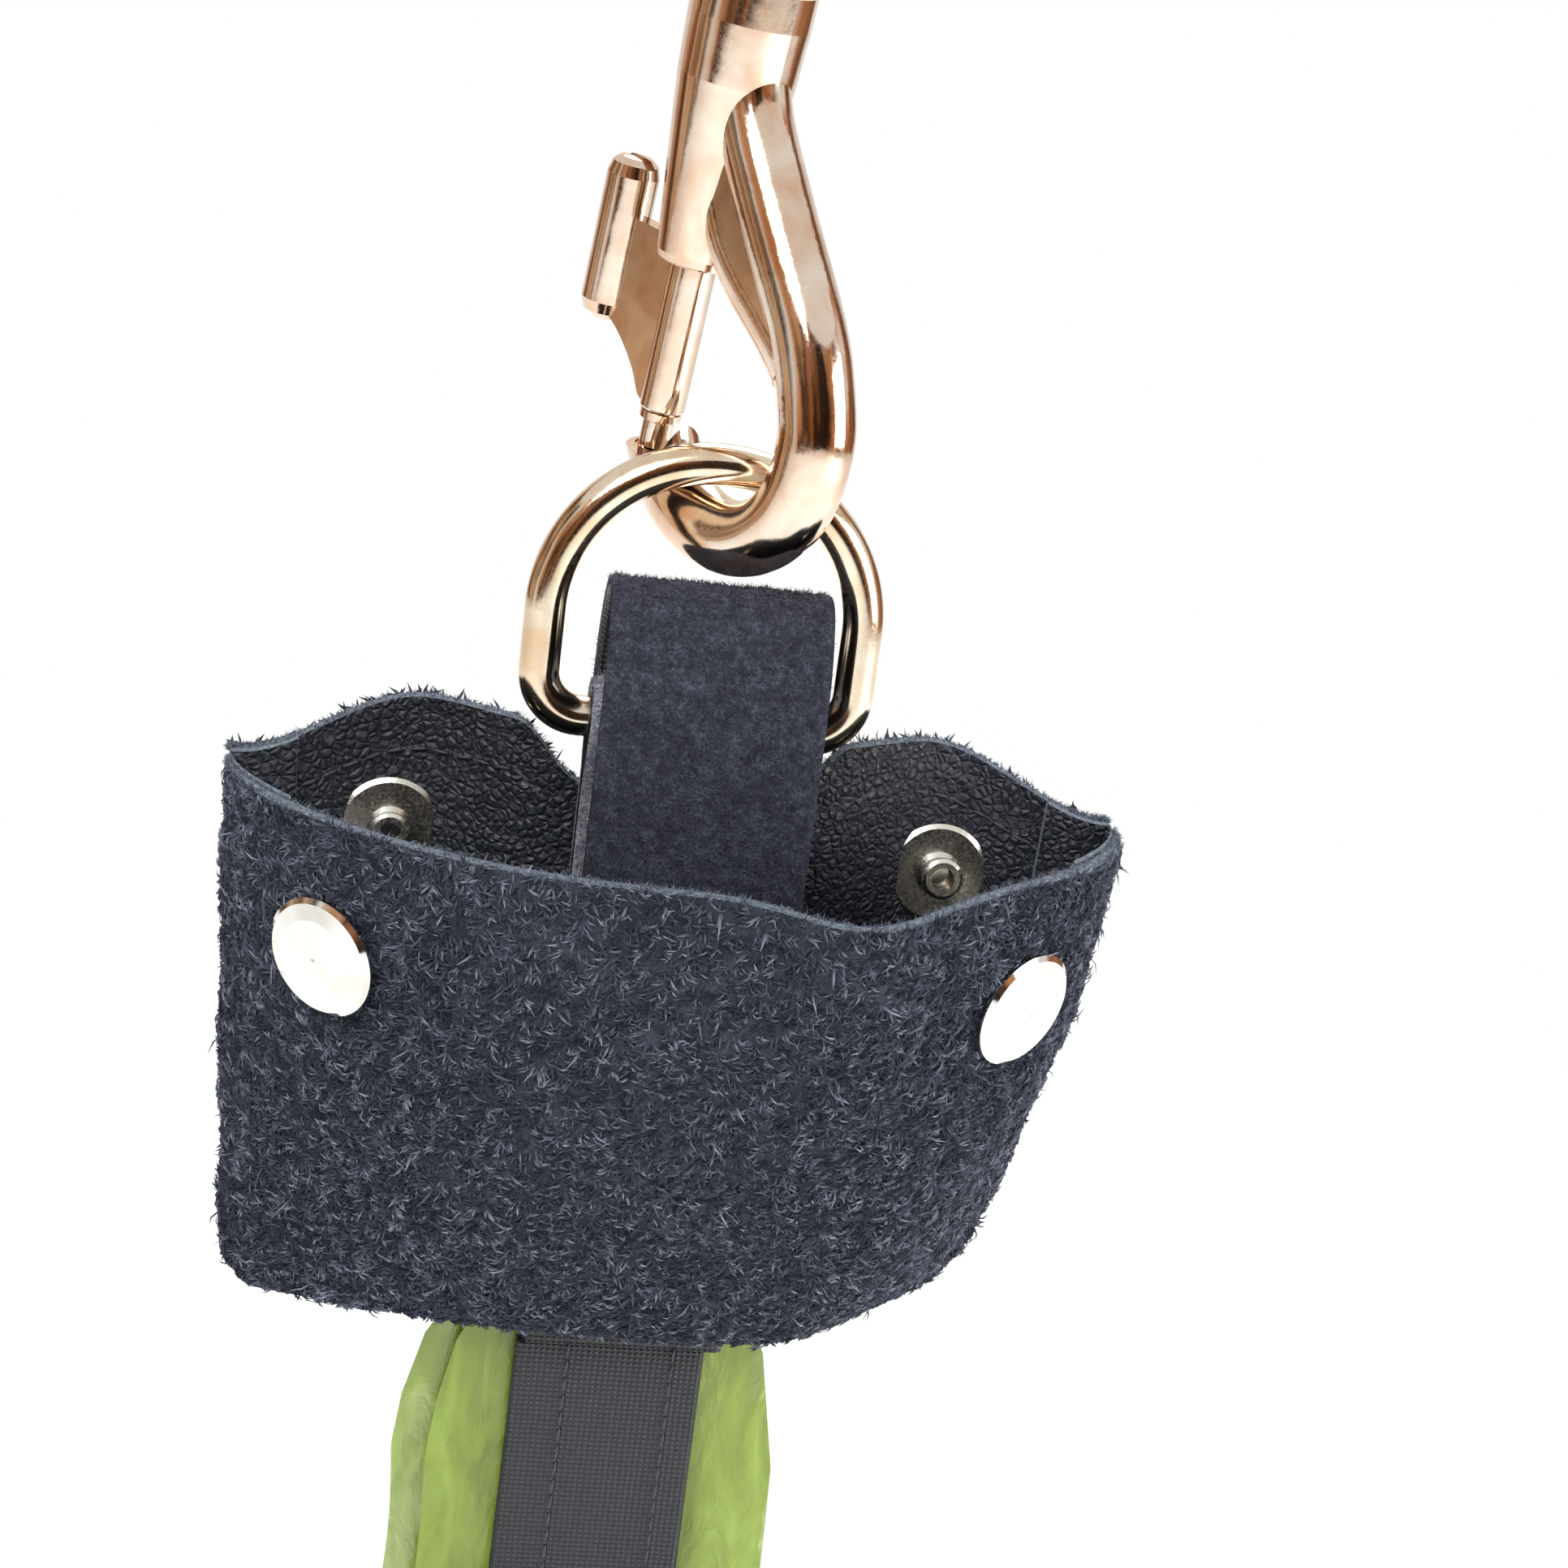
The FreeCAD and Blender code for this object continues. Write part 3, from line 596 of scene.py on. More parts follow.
def scatter(grid, normals, count, rng):
    """Random points on a grid surface, even by area, with their normals."""
    a, b, c = grid[:-1, :-1], grid[:-1, 1:], grid[1:, :-1]
    area = np.linalg.norm(np.cross(b - a, c - a), axis=-1).ravel()
    pick = rng.choice(len(area), count, p=area / area.sum())
    i, j = np.divmod(pick, grid.shape[1] - 1)
    s, t = rng.random((2, count))
    s, t = s[:, None], t[:, None]
    spot = (grid[i, j] * (1 - s) * (1 - t) + grid[i, j + 1] * s * (1 - t)
            + grid[i + 1, j] * (1 - s) * t + grid[i + 1, j + 1] * s * t)
    return spot, normals[i, j]


def nap(name, grid, normals, count, seed, length, width, material, body="pouch", lean=(0.12, 0.55),
        bow=0.0, drifts=(7.0, 1.6), contrast=0.7):
    """Fibres lying in tufts over a grid: a tuft's fibres share their heading and colour; each fibre is
    darker at its root as painted shade.
    """
    rng = np.random.default_rng(seed)
    spot, out = scatter(grid, normals, count, rng)
    flow = np.array([noise.noise(Vector(p / drifts[0])) for p in spot]) * 3.0 * math.pi
    tuft = np.array([noise.noise(Vector(p / drifts[1]) + Vector((9.0, 2.0, 5.0))) for p in spot])
    heading = flow + tuft * 4.0 + rng.normal(0, 0.4, count) - 1.2
    leans = rng.uniform(lean[0], lean[1], count) + np.clip(tuft, 0, 1) * 0.3
    lengths = length * rng.uniform(0.45, 1.2, count)
    long = rng.random(count) < 0.012
    lengths[long] *= rng.uniform(1.3, 2.0, long.sum())
    leans[long] += 0.3
    widths = width * rng.uniform(0.6, 1.35, count)
    tones = np.clip(0.42 + tuft * contrast + rng.normal(0, 0.16, count) + long * 0.3, 0.03, 1)
    verts, tris, tone_and_root_shade = fibres(spot, out, lengths, widths, leans, heading, tones, bow)
    obj = mesh_piece(name, verts, tris.tolist(), body, tone_and_root_shade=tone_and_root_shade)
    give(obj, material)
    return obj


# ---------------------------------------------------------------- webbing and pile
def spline(points, step):
    """Evenly spaced points along a smooth line through the given ones."""
    p = np.array([points[0]] + list(points) + [points[-1]], float)
    out = []
    for k in range(1, len(p) - 2):
        a, b, c, d = p[k - 1:k + 3]
        n = max(2, int(np.linalg.norm(c - b) / step * 3))
        t = np.linspace(0, 1, n, endpoint=False)[:, None]
        out.append(0.5 * (2 * b + (c - a) * t + (2 * a - 5 * b + 4 * c - d) * t ** 2
                          + (3 * b - a - 3 * c + d) * t ** 3))
    line = np.concatenate(out + [p[-1:]])
    length = np.concatenate([[0], np.cumsum(np.linalg.norm(np.diff(line, axis=0), axis=1))])
    even = np.linspace(0, length[-1], max(3, int(length[-1] / step)))
    return np.stack([np.interp(even, length, line[:, 0]), np.interp(even, length, line[:, 1])], 1), even


def ribbon(name, path, t0, t1, half, body, materials, step=0.5, across=50, weave=0.0, fuzz=0.0,
           seed=0, shift=0.0):
    """Flat woven strip along a (y, z) path, from thickness t0 to t1 on its left."""
    line, run = spline(path, step)
    ahead = np.gradient(line, axis=0)
    ahead /= np.linalg.norm(ahead, axis=1, keepdims=True)
    left = np.stack([-ahead[:, 1], ahead[:, 0]], 1)
    x = np.linspace(-half, half, across)
    edge = smooth((half - abs(x)) / 0.5)

    def face(t, sign):
        middle = (t0 + t1) / 2
        grid = np.zeros((len(line), across, 3))
        pull = (t - middle) * (0.25 + 0.75 * edge) + middle
        grid[..., 0] = x + shift
        grid[..., 1] = line[:, None, 0] + left[:, None, 0] * pull
        grid[..., 2] = line[:, None, 1] + left[:, None, 1] * pull
        bumps = np.zeros(grid.shape[:2])
        if weave:
            cross = np.sin(math.pi * x / WARP)[None, :] * np.sin(math.pi * run / WEFT)[:, None]
            bumps += (abs(cross) ** 0.7 - 0.6) * weave
        if fuzz:
            bumps += drift(grid, 1.5, fuzz, seed) + drift(grid, 0.6, fuzz * 0.7, seed + 4)
        bumps *= sign * edge
        grid[..., 1] += left[:, None, 0] * bumps
        grid[..., 2] += left[:, None, 1] * bumps
        return grid

    outer, inner = face(t1, 1), face(t0, -1)
    points, faces, _ = shell(outer, inner, 1)
    uv = np.zeros((len(points), 2))
    n = outer.shape[0] * across
    flat = np.stack(np.broadcast_arrays(x[None, :] + half, run[:, None]), -1).reshape(-1, 2)
    uv[:n], uv[n:2 * n] = flat, flat
    nearest = points[2 * n:, 0] + half
    uv[2 * n:, 0] = nearest
    uv[2 * n:, 1] = points[2 * n:, 2]
    obj = mesh_piece(name, points, faces, body, uv=uv, groups=[0] * len(faces))
    give(obj, *materials)
    smooth_shade(obj, 60)
    out = np.zeros(outer.shape)
    out[..., 1], out[..., 2] = left[:, None, 0], left[:, None, 1]
    return obj, outer, out


# ---------------------------------------------------------------- build
# the warm second colour of each plate is a painted reflection of a warm room, not the plate's own colour
NICKEL = nickel("nickel_plated_zinc", "#D9C9B8", "#C9A78C", 0.10, 4.0)
RING_NICKEL = nickel("nickel_plated_wire", "#DACDB8", "#CDB292", 0.13, 6.0)
STUD_NICKEL = nickel("nickel_plated_brass", "#DAD9D4", "#CFCBC2", 0.09, 3.0)
SOCKET_NICKEL = nickel("nickel_plated_socket", "#D2D0C8", "#BDBAAF", 0.26, 2.0)
SUEDE, FIBRE, EDGE, GRAIN = suede(), nap_fibre(), cut_edge(), grain_leather()
WEB, THREAD, FILM, STEEL = webbing(), thread(), film(), spring_wire()
PILE = pile("dark_loop_pile", "#111218", "#282A35", "#494B58")
PILE_HAIR = pile_fibre("dark_loop_fibre", "#15161E", "#32343F", "#6A6C78")
LIGHT_PILE = pile("grey_loop_pile", "#4A4B55", "#75767E", "#A3A4AA")
LIGHT_HAIR = pile_fibre("grey_loop_fibre", "#54555F", "#85868D", "#B9BABF")

for node, made in {"swivel_eye": NICKEL, "swivel_rivet": NICKEL, "snap_body": NICKEL, "bolt": NICKEL,
                   "thumb_piece": NICKEL, "d_ring": RING_NICKEL, "bolt_spring": STEEL,
                   "snap_cap_l": STUD_NICKEL, "snap_cap_r": STUD_NICKEL, "snap_socket_l": SOCKET_NICKEL,
                   "snap_socket_r": SOCKET_NICKEL, "snap_stud_l": SOCKET_NICKEL,
                   "snap_stud_r": SOCKET_NICKEL,
                   "stud_eyelet_l": STUD_NICKEL, "stud_eyelet_r": STUD_NICKEL,
                   "clamp_tab": WEB}.items():
    give(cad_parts[node], made)

# The front wall is 17 upright gores, each with the share of its depth meant to be left when the
# mouth closes: nearly flat from the caps outwards, less towards the middle gore, which stays open for the
# strap. The mouth is not closed here; a share only marks a gore.
EDGES = (0.28, 0.31, 0.34, 0.365, 0.39, 0.415, 0.44, 0.47, 1.0)
KEEPS = (0.84, 0.72, 0.60, 0.48, 0.37, 0.27, 0.17, 0.08)
GORES = [(-b, -a, keep) for a, b, keep in zip(EDGES, EDGES[1:], KEEPS)][::-1] + [(-0.28, 0.28, 0.96)]
GORES += list(zip(EDGES, EDGES[1:], KEEPS))
WALL_COLS = 220      # faces across a whole wall


def runs_up(points, face):
    """Whether an edge face runs up the side of a gore, so that no hide was cut there."""
    corners = np.array([points[i] for i in face])
    return np.ptp(corners[:, 2]) > 0.35 and np.ptp(corners[:, 0]) < 2.0


def part_of_wall(u0, u1):
    """Share of a wall's columns and fibres that lies between two places across it."""
    return (math.asin(u1) - math.asin(u0)) / math.pi


NAP = {"lean": (0.05, 0.4), "bow": 0.5, "drifts": (8.0, 1.1), "contrast": 0.85}


def hide_piece(name, rim, side, u0, u1, hairs, seed, nodes=(), keep=None, cols=None, **more):
    """A stretch of wall with its nap; keep, a gore's share of depth for a closed mouth, is only tested for
    being set: then the faces up its sides take the suede and its meshes are its own.
    """
    cols = cols or max(8, int(part_of_wall(u0, u1) * WALL_COLS))
    points, faces, kinds, outer, out = hide(rim, side, u0, u1, cols=cols, **more)
    if keep:      # only the skived rim and foot are paler; where gores meet there is no cut
        kinds = [0 if kind == 1 and runs_up(points, face) else kind
                 for kind, face in zip(kinds, faces)]
    obj = mesh_piece(name, points, faces, "pouch", groups=kinds)
    give(obj, SUEDE, EDGE, GRAIN)
    smooth_shade(obj, 50)
    made = [obj]
    if hairs:
        fuzz = nap(name + "_nap", outer, out, hairs, seed, 1.5, 0.145, FIBRE, **NAP)
        made.append(fuzz)
    if nodes:
        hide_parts(*nodes)
    if keep:
        for piece in made:
            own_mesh(piece)
    return obj, outer, out


# fibres on the front wall, on each third of the back wall and along each mouth line; the
# middle gore carries fewer, which keeps its file small
FRONT_HAIRS, BACK_HAIRS, RIM_HAIRS = 56000, 9000, 5000
MIDDLE, MIDDLE_SHARE = len(GORES) // 2, 0.9
for k, (u0, u1, keep) in enumerate(GORES):
    hairs = int(FRONT_HAIRS * part_of_wall(u0, u1) * (MIDDLE_SHARE if k == MIDDLE else 1.0))
    hide_piece("front_hide_%d" % k, front_rim, -1, u0, u1, hairs, 20 + k,
               nodes=("front_panel",) if k == MIDDLE else (), keep=keep)
_, grid, out = hide_piece("back_hide", back_rim, 1, -1.0, 1.0, 0, 40, nodes=("back_panel",), rows=120)
for k in range(3):
    a, b = grid.shape[1] * k // 3, grid.shape[1] * (k + 1) // 3 + 1
    fuzz = nap("back_hide_nap_%d" % k, grid[:, a:b], out[:, a:b], BACK_HAIRS, 40 + k, 1.6, 0.17,
               FIBRE, **NAP)
inset = 1 - SEAM_W / MOUTH_HALF
turned = {"v1": 0.86, "d0": 0.08 - SEAM_T, "d1": -0.25, "cols": 24, "rows": 90, "nap": False}
for hand, u0, u1 in (("l", -1.0, -inset), ("r", inset, 1.0)):
    hide_piece("front_turning_" + hand, front_rim, -1, u0, u1, 0, 0,
               nodes=("seam_allowance_" + hand,), keep=KEEPS[-1], **turned)
    hide_piece("back_turning_" + hand, back_rim, 1, u0, u1, 0, 0, **turned)


# ---------------------------------------------------------------- strap, keeper and tail
def strap_paths():
    """The (y, z) lines of the strap over its fold, of the tail and of the strap's lining."""
    f, b, t, z = FRONT_LEG, BACK_LEG, TAPE_T, FOLD_Z
    over = [(f, z - 78), (f, z - 60), (f, z - 40), (f, z - 24), (f + 0.1, z - 15), (f + 1.3, z - 9.4),
            (f + 3.9, z - t - 2.4), (f + 6.4, z - t - 1.5), (b - 4.2, z - t - 2.2), (b - 1.2, z - 8.4),
            (b + 0.5, z - 13.6), (b + 0.8, z - 19.9), (b + 0.5, z - 25), (b, z - 32), (b, z - 44),
            (b, z - 60), (b, z - 90), (b, z - 108)]
    tail = [(b, z - 108), (b, z - 115), (b + 0.3, z - 135), (b + 0.9, z - 160), (b + 1.2, TAIL_END)]
    liner = [(f, z - 76), (f, z - 56), (f, z - 36), (f, z - 24), (f + 0.05, z - 16)]
    return over, tail, liner


over, tail, liner = strap_paths()
half = WEB_W / 2


def woven(name, path, t0, t1, width, nodes, **more):
    """A strip of webbing along a path, in place of the CAD nodes."""
    settings = {"step": 0.24, "across": 104, "weave": 0.14, **more}
    obj = ribbon(name, path, t0, t1, width, "pouch", (WEB,), **settings)[0]
    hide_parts(*nodes)
    return obj


def piled(name, path, t0, t1, width, nodes, hairs, seed, base=None, hair=None, shift=0.0):
    """A strip of loop pile along a path, with loose loops on its face."""
    obj, outer, out = ribbon(name, path, t0, t1 - 0.35, width, "pouch", (base or PILE,), step=0.55,
                             across=46, fuzz=0.16, seed=seed, shift=shift)
    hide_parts(*nodes)
    fluff = nap(name + "_fluff", outer, out, hairs, seed, 0.75, 0.07, hair or PILE_HAIR, lean=(0.3, 1.1),
                drifts=(5.0, 0.9), contrast=1.1)
    return obj


wide = {"shift": STRAP_X}
woven("strap_band", over, 0.02, WEB_T - 0.02, STRAP_W / 2, ["strap_webbing"], step=0.9, across=40,
      weave=0.0, **wide)
piled("strap_loop_face", over, WEB_T, TAPE_T, STRAP_W / 2, ["strap_pile"], 34000, 51, **wide)
piled("strap_inner_face", liner[::-1], 0.3, 2.4, STRAP_W / 2 - 0.6, ["strap_liner"], 9000, 52, **wide)
woven("tail_band", tail, 0.02, WEB_T - 0.02, half, ["tail_webbing"])
piled("tail_loop_face", tail, WEB_T, TAPE_T, half, ["tail_pile"], 14000, 53)
ring_side = [(-0.02, KEEP_FOOT), (-0.02, TONGUE_Z - 4), (-0.1, TONGUE_Z)]
arc = [(-KEEP_R * math.cos(a), BAR_Z + KEEP_R * math.sin(a))
       for a in np.radians((-20, 10, 45, 90, 135, 170, 200))]
keeper = ring_side + arc + [(-y, zz) for y, zz in ring_side[::-1]]
woven("keeper_band", keeper, 0.05, WEB_T - 0.02, half, ["keeper_webbing"])
piled("keeper_loop_face", keeper, WEB_T, TAPE_T, half, ["keeper_pile"], 14000, 54, LIGHT_PILE, LIGHT_HAIR)


# ---------------------------------------------------------------- bottom seam and stitches
def bottom_turning(name, u0, u1):
    """The two hides' skived ends that lie together in the foot of the pouch."""
    cols, rows = max(6, int(60 * (u1 - u0))), 10
    u = np.sin(np.linspace(math.asin(u0), math.asin(u1), cols))[None, :] * np.ones((rows, 1))
    v = np.linspace(0.91, 0.992, rows)[:, None] * np.ones((1, cols))
    near = wall_points(u, v, front_rim, -1, -0.22)
    far = near.copy()
    far[..., 1] += 2 * SEAM_T + front_gap(u, v) - 0.44
    points, faces, kinds = shell(near[:, ::-1], far[:, ::-1], 1)
    obj = mesh_piece(name, points, faces, "pouch", groups=kinds)
    give(obj, SUEDE, EDGE, GRAIN)
    smooth_shade(obj, 50)
    if u0 < 0 < u1:
        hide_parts("bottom_seam")
    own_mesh(obj)


def stitch_form(length, thick):
    """One stitch: a short fat oval of thread, as points and faces."""
    bpy.ops.object.select_all(action="DESELECT")
    bpy.ops.mesh.primitive_uv_sphere_add(segments=8, ring_count=6, radius=0.5)
    ball = bpy.context.object
    ball.scale = (length, thick, thick)
    bpy.ops.object.transform_apply(location=False, rotation=False, scale=True)
    points = np.array([vertex.co for vertex in ball.data.vertices])
    faces = [tuple(face.vertices) for face in ball.data.polygons]
    bpy.data.objects.remove(ball)
    return points, faces


def sewn(name, spots, alongs, normals, length, thick):
    """Stitches at the spots, each along its own direction and half sunk."""
    form, faces = stitch_form(length, thick)
    points, all_faces = [], []
    for k, (spot, along, out) in enumerate(zip(spots, alongs, normals)):
        along = along / np.linalg.norm(along)
        side = np.cross(out, along)
        side /= np.linalg.norm(side)
        frame_of = np.stack([along, side, np.cross(along, side)])
        points.append(spot + form @ frame_of)
        all_faces += [tuple(i + k * len(form) for i in face) for face in faces]
    obj = mesh_piece(name, np.concatenate(points), all_faces, "pouch")
    give(obj, THREAD)
    smooth_shade(obj, 60)
    return obj


def rim_stitches():
    """Lockstitch 6.5 mm under the back rim, one row showing on each face."""
    u = np.linspace(-0.95, 0.95, 400)
    v = 6.5 / (back_rim(u) - foot(u))
    for name, depth, sign in (("rim_stitches_in", 0.0, -1), ("rim_stitches_out", HIDE_T, 1)):
        line = wall_points(u, v, back_rim, 1, depth)
        run = np.concatenate([[0], np.cumsum(np.linalg.norm(np.diff(line, axis=0), axis=1))])
        marks = np.arange(1.5, run[-1], 2.9)
        spots = np.stack([np.interp(marks, run, line[:, k]) for k in range(3)], 1)
        ahead = np.stack([np.interp(marks, run, np.gradient(line[:, k], run)) for k in range(3)], 1)
        ahead[:, 2] += np.where(np.arange(len(marks)) % 2, 0.05, -0.05)
        out = np.cross(ahead, [0.0, 0.0, 1.0]) * -sign
        out /= np.linalg.norm(out, axis=1, keepdims=True)
        out = np.where((out[:, 1:2] > 0) == (sign > 0), out, -out)
        sewn(name, spots + out * (0.12 if sign < 0 else 0.5), ahead, out, 2.3, 0.42)


def strip_stitches(name, xs, y, z0, z1, face, pitch=2.6):
    """Upright rows of stitches on a strip, one row at each x."""
    z = np.arange(z0, z1, -pitch)
    spots = np.array([(x, y(height), height) for x in xs for height in z])
    ways = np.array([(0.06, 0.0, 1.0)] * len(spots))
    outs = np.array([(0.0, face, 0.0)] * len(spots))
    sewn(name, spots, ways, outs, 2.1, 0.42)


def bartack():
    """Zig-zag bar across the keeper's foot."""
    x = np.arange(-10.4, 10.5, 0.62)
    side = np.where(np.arange(len(x)) % 2, 1.0, -1.0)
    spots = np.stack([x, np.full(len(x), -TAPE_T - 0.28), np.full(len(x), KEEP_FOOT + 4.2)], 1)
    ways = np.stack([np.full(len(x), 0.5), np.zeros(len(x)), side * 2.2], 1)
    outs = np.array([(0.0, -1.0, 0.0)] * len(x))
    obj = sewn("keeper_zigzag", spots, ways, outs, 2.4, 0.42)
    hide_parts("keeper_bartack")


def rim_fuzz(name, rim, side, count, seed, u0=-1.0, u1=1.0):
    """Loose fibres that stand off the skived rim."""
    rng = np.random.default_rng(seed)
    u = np.sin(rng.uniform(math.asin(u0), math.asin(u1), count))
    depth = rng.uniform(0.1, HIDE_T, count)
    spots = wall_points(u, np.full(count, 0.004), rim, side, depth)
    ups = np.tile([0.0, 0.35 * side, 1.0], (count, 1)) + rng.normal(0, 0.2, (count, 3))
    ups /= np.linalg.norm(ups, axis=1, keepdims=True)
    tones = np.clip(rng.normal(0.72, 0.15, count), 0.2, 1)
    verts, tris, tone_and_root_shade = fibres(spots, ups, rng.uniform(0.5, 1.3, count), rng.uniform(0.05, 0.11, count),
                               rng.uniform(0.2, 1.2, count), rng.uniform(0, 6.28, count), tones, 0.5)
    obj = mesh_piece(name, verts, tris.tolist(), "pouch", tone_and_root_shade=tone_and_root_shade)
    give(obj, FIBRE)
    return obj


for k, (u0, u1, keep) in enumerate(GORES):
    count = int(RIM_HAIRS * part_of_wall(u0, u1))
    fuzz = rim_fuzz("front_rim_fuzz_%d" % k, front_rim, -1, count, 60 + k, u0, u1)
    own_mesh(fuzz)
rim_fuzz("back_rim_fuzz", back_rim, 1, RIM_HAIRS, 70)
for k, (u0, u1, keep) in enumerate(GORES):
    bottom_turning("bottom_turning_%d" % k, max(u0, -0.93), min(u1, 0.93))
rim_stitches()
bartack()


def tail_y(z):
    """Where the front face of the tail's webbing lies at a height."""
    zs = [q for _, q in tail[::-1]]
    return float(np.interp(z, zs, [q for q, _ in tail[::-1]])) - 0.06


strip_stitches("tail_stitches", (-5.6, 8.4), tail_y, FOLD_Z - 106, TAIL_END + 4, -1.0)


# ---------------------------------------------------------------- the film bag
# rows down the film: height, half width, depth of the folds, front y, centre x
BAG_ROWS = [(-172, 11.0, 0.9, 7.9, 0.0), (-184, 11.5, 0.9, 7.9, 0.0), (-195, 19.0, 1.8, 7.9, -1.0),
            (-204, 23.5, 3.2, 8.0, -1.6), (-222, 27.5, 4.4, 8.5, -2.0), (-244, 28.5, 5.1, 9.2, -2.0),
            (-266, 28.0, 5.2, 9.8, -1.8), (BAG_END + 0.4, 27.0, 3.4, 10.3, -1.8)]
# the three passes: place across the flat film, and where that lies across the folded one
PASSES = [(0.0, -0.80), (0.30, 0.99), (0.64, -0.99), (0.97, 0.90), (1.0, 0.97)]


def film_bag():
    """One flat bag folded lengthwise in three: front layer short on the left, so that the
    layer behind shows past it; creases run down and fan out below the pinch."""
    cols, rows = 240, 130
    across = np.linspace(0, 1, cols)
    fine = np.linspace(-0.03, 1.03, 1200)
    key = np.interp(fine, [q for q, _ in PASSES], [q for _, q in PASSES])
    soft = np.convolve(key, np.ones(17) / 17, mode="same")
    soft[:10], soft[-10:] = key[:10], key[-10:]
    zig = np.interp(across, fine, soft)
    z = np.linspace(BAG_ROWS[0][0], BAG_ROWS[-1][0], rows)
    half_w, deep, front, centre = [np.interp(-z, [-q[0] for q in BAG_ROWS], [q[k] for q in BAG_ROWS])
                                   for k in (1, 2, 3, 4)]
    grid = np.zeros((rows, cols, 3))
    free = smooth((BAG_ROWS[1][0] - z) / 30)[:, None]
    flare = 1 + 0.10 * np.sin(z / 17)[:, None] * free * (zig < -0.6)[None, :] * abs(zig)[None, :]
    grid[..., 0] = centre[:, None] + half_w[:, None] * zig[None, :] * np.clip(flare, 0.8, 1.0)
    spread = 0.12 + 0.76 * across
    grid[..., 1] = front[:, None] + deep[:, None] * spread[None, :]
    grid[..., 2] = z[:, None]
    where = np.stack([grid[..., 0] / 4.5 + across[None, :] * 9, np.broadcast_to(across * 7, grid.shape[:2]),
                      grid[..., 2] / 26], -1).reshape(-1, 3)
    crease = np.array([noise.ridged_multi_fractal(Vector(q), 1.0, 2.1, 2, 1.0, 2.0) for q in where])
    wave = np.array([noise.noise(Vector((q[0] * 0.45, q[1], q[2] * 1.3))) for q in where])
    shape = (crease.reshape(grid.shape[:2]) - 1.2) * 0.28 + wave.reshape(grid.shape[:2]) * 0.9
    grid[..., 1] += np.clip(shape, -0.75, 0.75) * free * (deep[:, None] / 6.0)
    hem = smooth((z - z[-1]) / 6.0)[:, None]
    grid[..., 2] += (1 - hem) * 1.2 * (np.sin(across * 40)[None, :] * 0.5 + 0.5)
    inner = grid.copy()
    inner[..., 1] += 0.07
    points, faces, _ = shell(grid[:, ::-1], inner[:, ::-1], 0)
    obj = mesh_piece("film_bag", points, faces, "pouch")
    give(obj, FILM)
    smooth_shade(obj, 70)
    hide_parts("waste_bag")


film_bag()


# ---------------------------------------------------------------- stage, light and camera
floor_z = CAD_BOX[0][2] - 0.002
bpy.ops.mesh.primitive_plane_add(size=6, location=(0, 0, floor_z))
floor = bpy.context.object
floor.name = "floor"
pale, tree, shader = begin("pale_floor", Roughness=0.9)
shader.inputs["Base Color"].default_value = colour("#F4F4F4")
camera_ray = add(tree, "ShaderNodeLightPath").outputs["Is Camera Ray"]
white = add(tree, "ShaderNodeEmission", {"Color": (1, 1, 1, 1), "Strength": 1.0}).outputs[0]
mix = add(tree, "ShaderNodeMixShader", {0: camera_ray, 1: shader.outputs[0], 2: white})
place = add(tree, "ShaderNodeTexCoord").outputs["Object"]
far_off = add(tree, "ShaderNodeVectorMath", {0: place}, operation="LENGTH").outputs["Value"]
share = add(tree, "ShaderNodeMath", {0: camera_ray, 1: span(tree, far_off, 0.08, 0.45, 0.8, 1.0)},
            operation="MULTIPLY").outputs[0]
tree.links.new(share, mix.inputs[0])
tree.links.new(mix.outputs[0], tree.nodes["Material Output"].inputs["Surface"])
floor.data.materials.append(pale)

world = bpy.data.worlds.new("studio")
bpy.context.scene.world = world
world.use_nodes = True
tree = world.node_tree
back = tree.nodes["Background"]
path = add(tree, "ShaderNodeLightPath")
seen = add(tree, "ShaderNodeMath", {0: path.outputs["Is Camera Ray"], 1: path.outputs["Is Glossy Ray"]},
           operation="MAXIMUM").outputs[0]
seen = add(tree, "ShaderNodeMath", {0: seen, 1: path.outputs["Is Transmission Ray"]},
           operation="MAXIMUM").outputs[0]
tree.links.new(span(tree, seen, 0, 1, 0.75, 1.0), back.inputs["Strength"])
back.inputs["Color"].default_value = (1, 1, 1, 1)


def lamp(name, place, aim, size, power):
    """A white square area light."""
    data = bpy.data.lights.new(name, "AREA")
    data.size, data.energy, data.color = size, power, colour("#FFFFFF")[:3]
    obj = bpy.data.objects.new(name, data)
    bpy.context.scene.collection.objects.link(obj)
    obj.location = place
    obj.rotation_euler = (Vector(aim) - Vector(place)).to_track_quat("-Z", "Y").to_euler()


middle = (0, 0, -0.14)
lamp("key", (-0.35, -0.55, 0.45), middle, 0.4, 6.5)
lamp("fill", (0.6, -0.3, 0.0), middle, 0.4, 4.5)
lamp("rear", (0.1, 0.6, 0.5), middle, 0.5, 5.0)

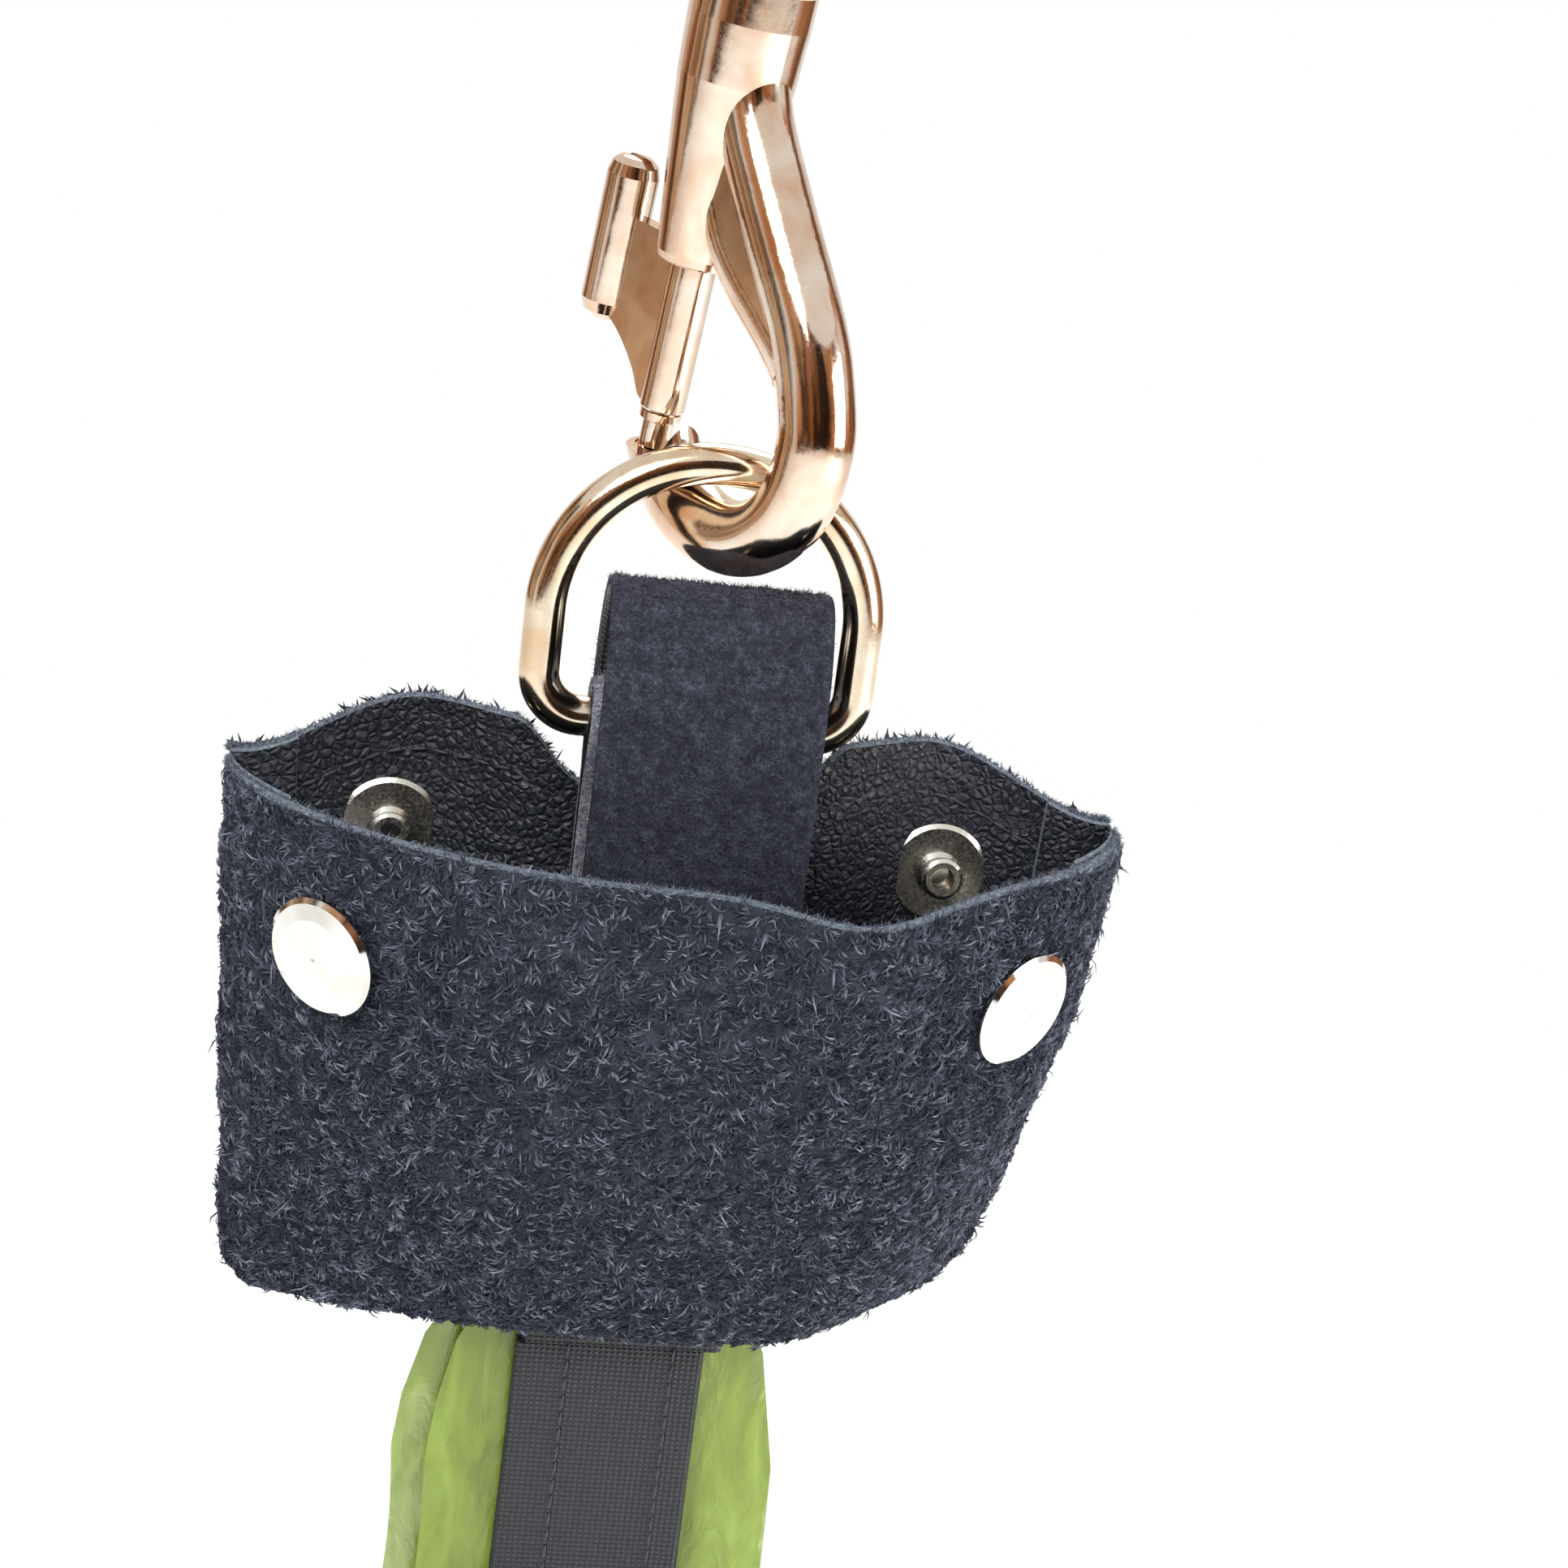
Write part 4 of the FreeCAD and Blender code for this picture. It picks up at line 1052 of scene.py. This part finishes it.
# the room's warm wall and dark doorway, seen only in the metal
bpy.ops.mesh.primitive_cylinder_add(vertices=64, radius=0.9, depth=1.1, end_fill_type="NOTHING",
                                    location=(0, 0, -0.1))
room = bpy.context.object
room.name = "room_card"
room.visible_camera = room.visible_diffuse = room.visible_shadow = room.visible_transmission = False
wall, tree, _ = begin("room_wall")
place = add(tree, "ShaderNodeTexCoord").outputs["Object"]
split = add(tree, "ShaderNodeSeparateXYZ", {"Vector": place})
turn = add(tree, "ShaderNodeMath", {0: split.outputs["X"], 1: split.outputs["Y"]},
           operation="ARCTAN2").outputs[0]
wander = add(tree, "ShaderNodeTexNoise", {"Vector": place, "Scale": 2.6, "Detail": 2.0}).outputs["Fac"]
moved = add(tree, "ShaderNodeMath", {0: wander, 1: 1.4, 2: turn}, operation="MULTIPLY_ADD").outputs[0]
bands = ramp(tree, span(tree, moved, -math.pi + 0.7, math.pi + 0.7, 0, 1), (0.0, "#3A2A20"),
             (0.05, "#B0744C"), (0.11, "#4A3328"), (0.17, "#D9A57C"), (0.21, "#FFFFFF"),
             (0.245, "#2E2622"), (0.28, "#E8C4A2"), (0.32, "#54392B"), (0.36, "#C08A62"),
             (0.42, "#FFFFFF"), (0.52, "#F4E3CF"), (0.6, "#FFFFFF"), (0.66, "#6B4733"),
             (0.71, "#C98F66"), (0.77, "#FFFFFF"), (0.83, "#5A3D2E"), (0.88, "#D79A6C"), (0.94, "#241B18"),
             (1.0, "#3A2A20"))
light = add(tree, "ShaderNodeEmission", {"Color": bands, "Strength": 1.0}).outputs[0]
tree.links.new(light, tree.nodes["Material Output"].inputs["Surface"])
room.data.materials.append(wall)

camera = bpy.data.objects.new("camera", bpy.data.cameras.new("camera"))
bpy.context.scene.collection.objects.link(camera)
right, up = Vector((0.98513, -0.1159, 0.12686)), Vector((-0.08471, 0.31479, 0.94538))
axes = Matrix((right, up, right.cross(up))).transposed().to_4x4()
camera.matrix_world = Matrix.Translation((-0.03999, -0.32875, -0.01551)) @ axes
camera.data.lens, camera.data.sensor_width = 65.2, 36.0
camera.data.clip_start, camera.data.clip_end = 0.01, 20
bpy.context.scene.camera = camera
bpy.context.scene.view_settings.view_transform = "Standard"
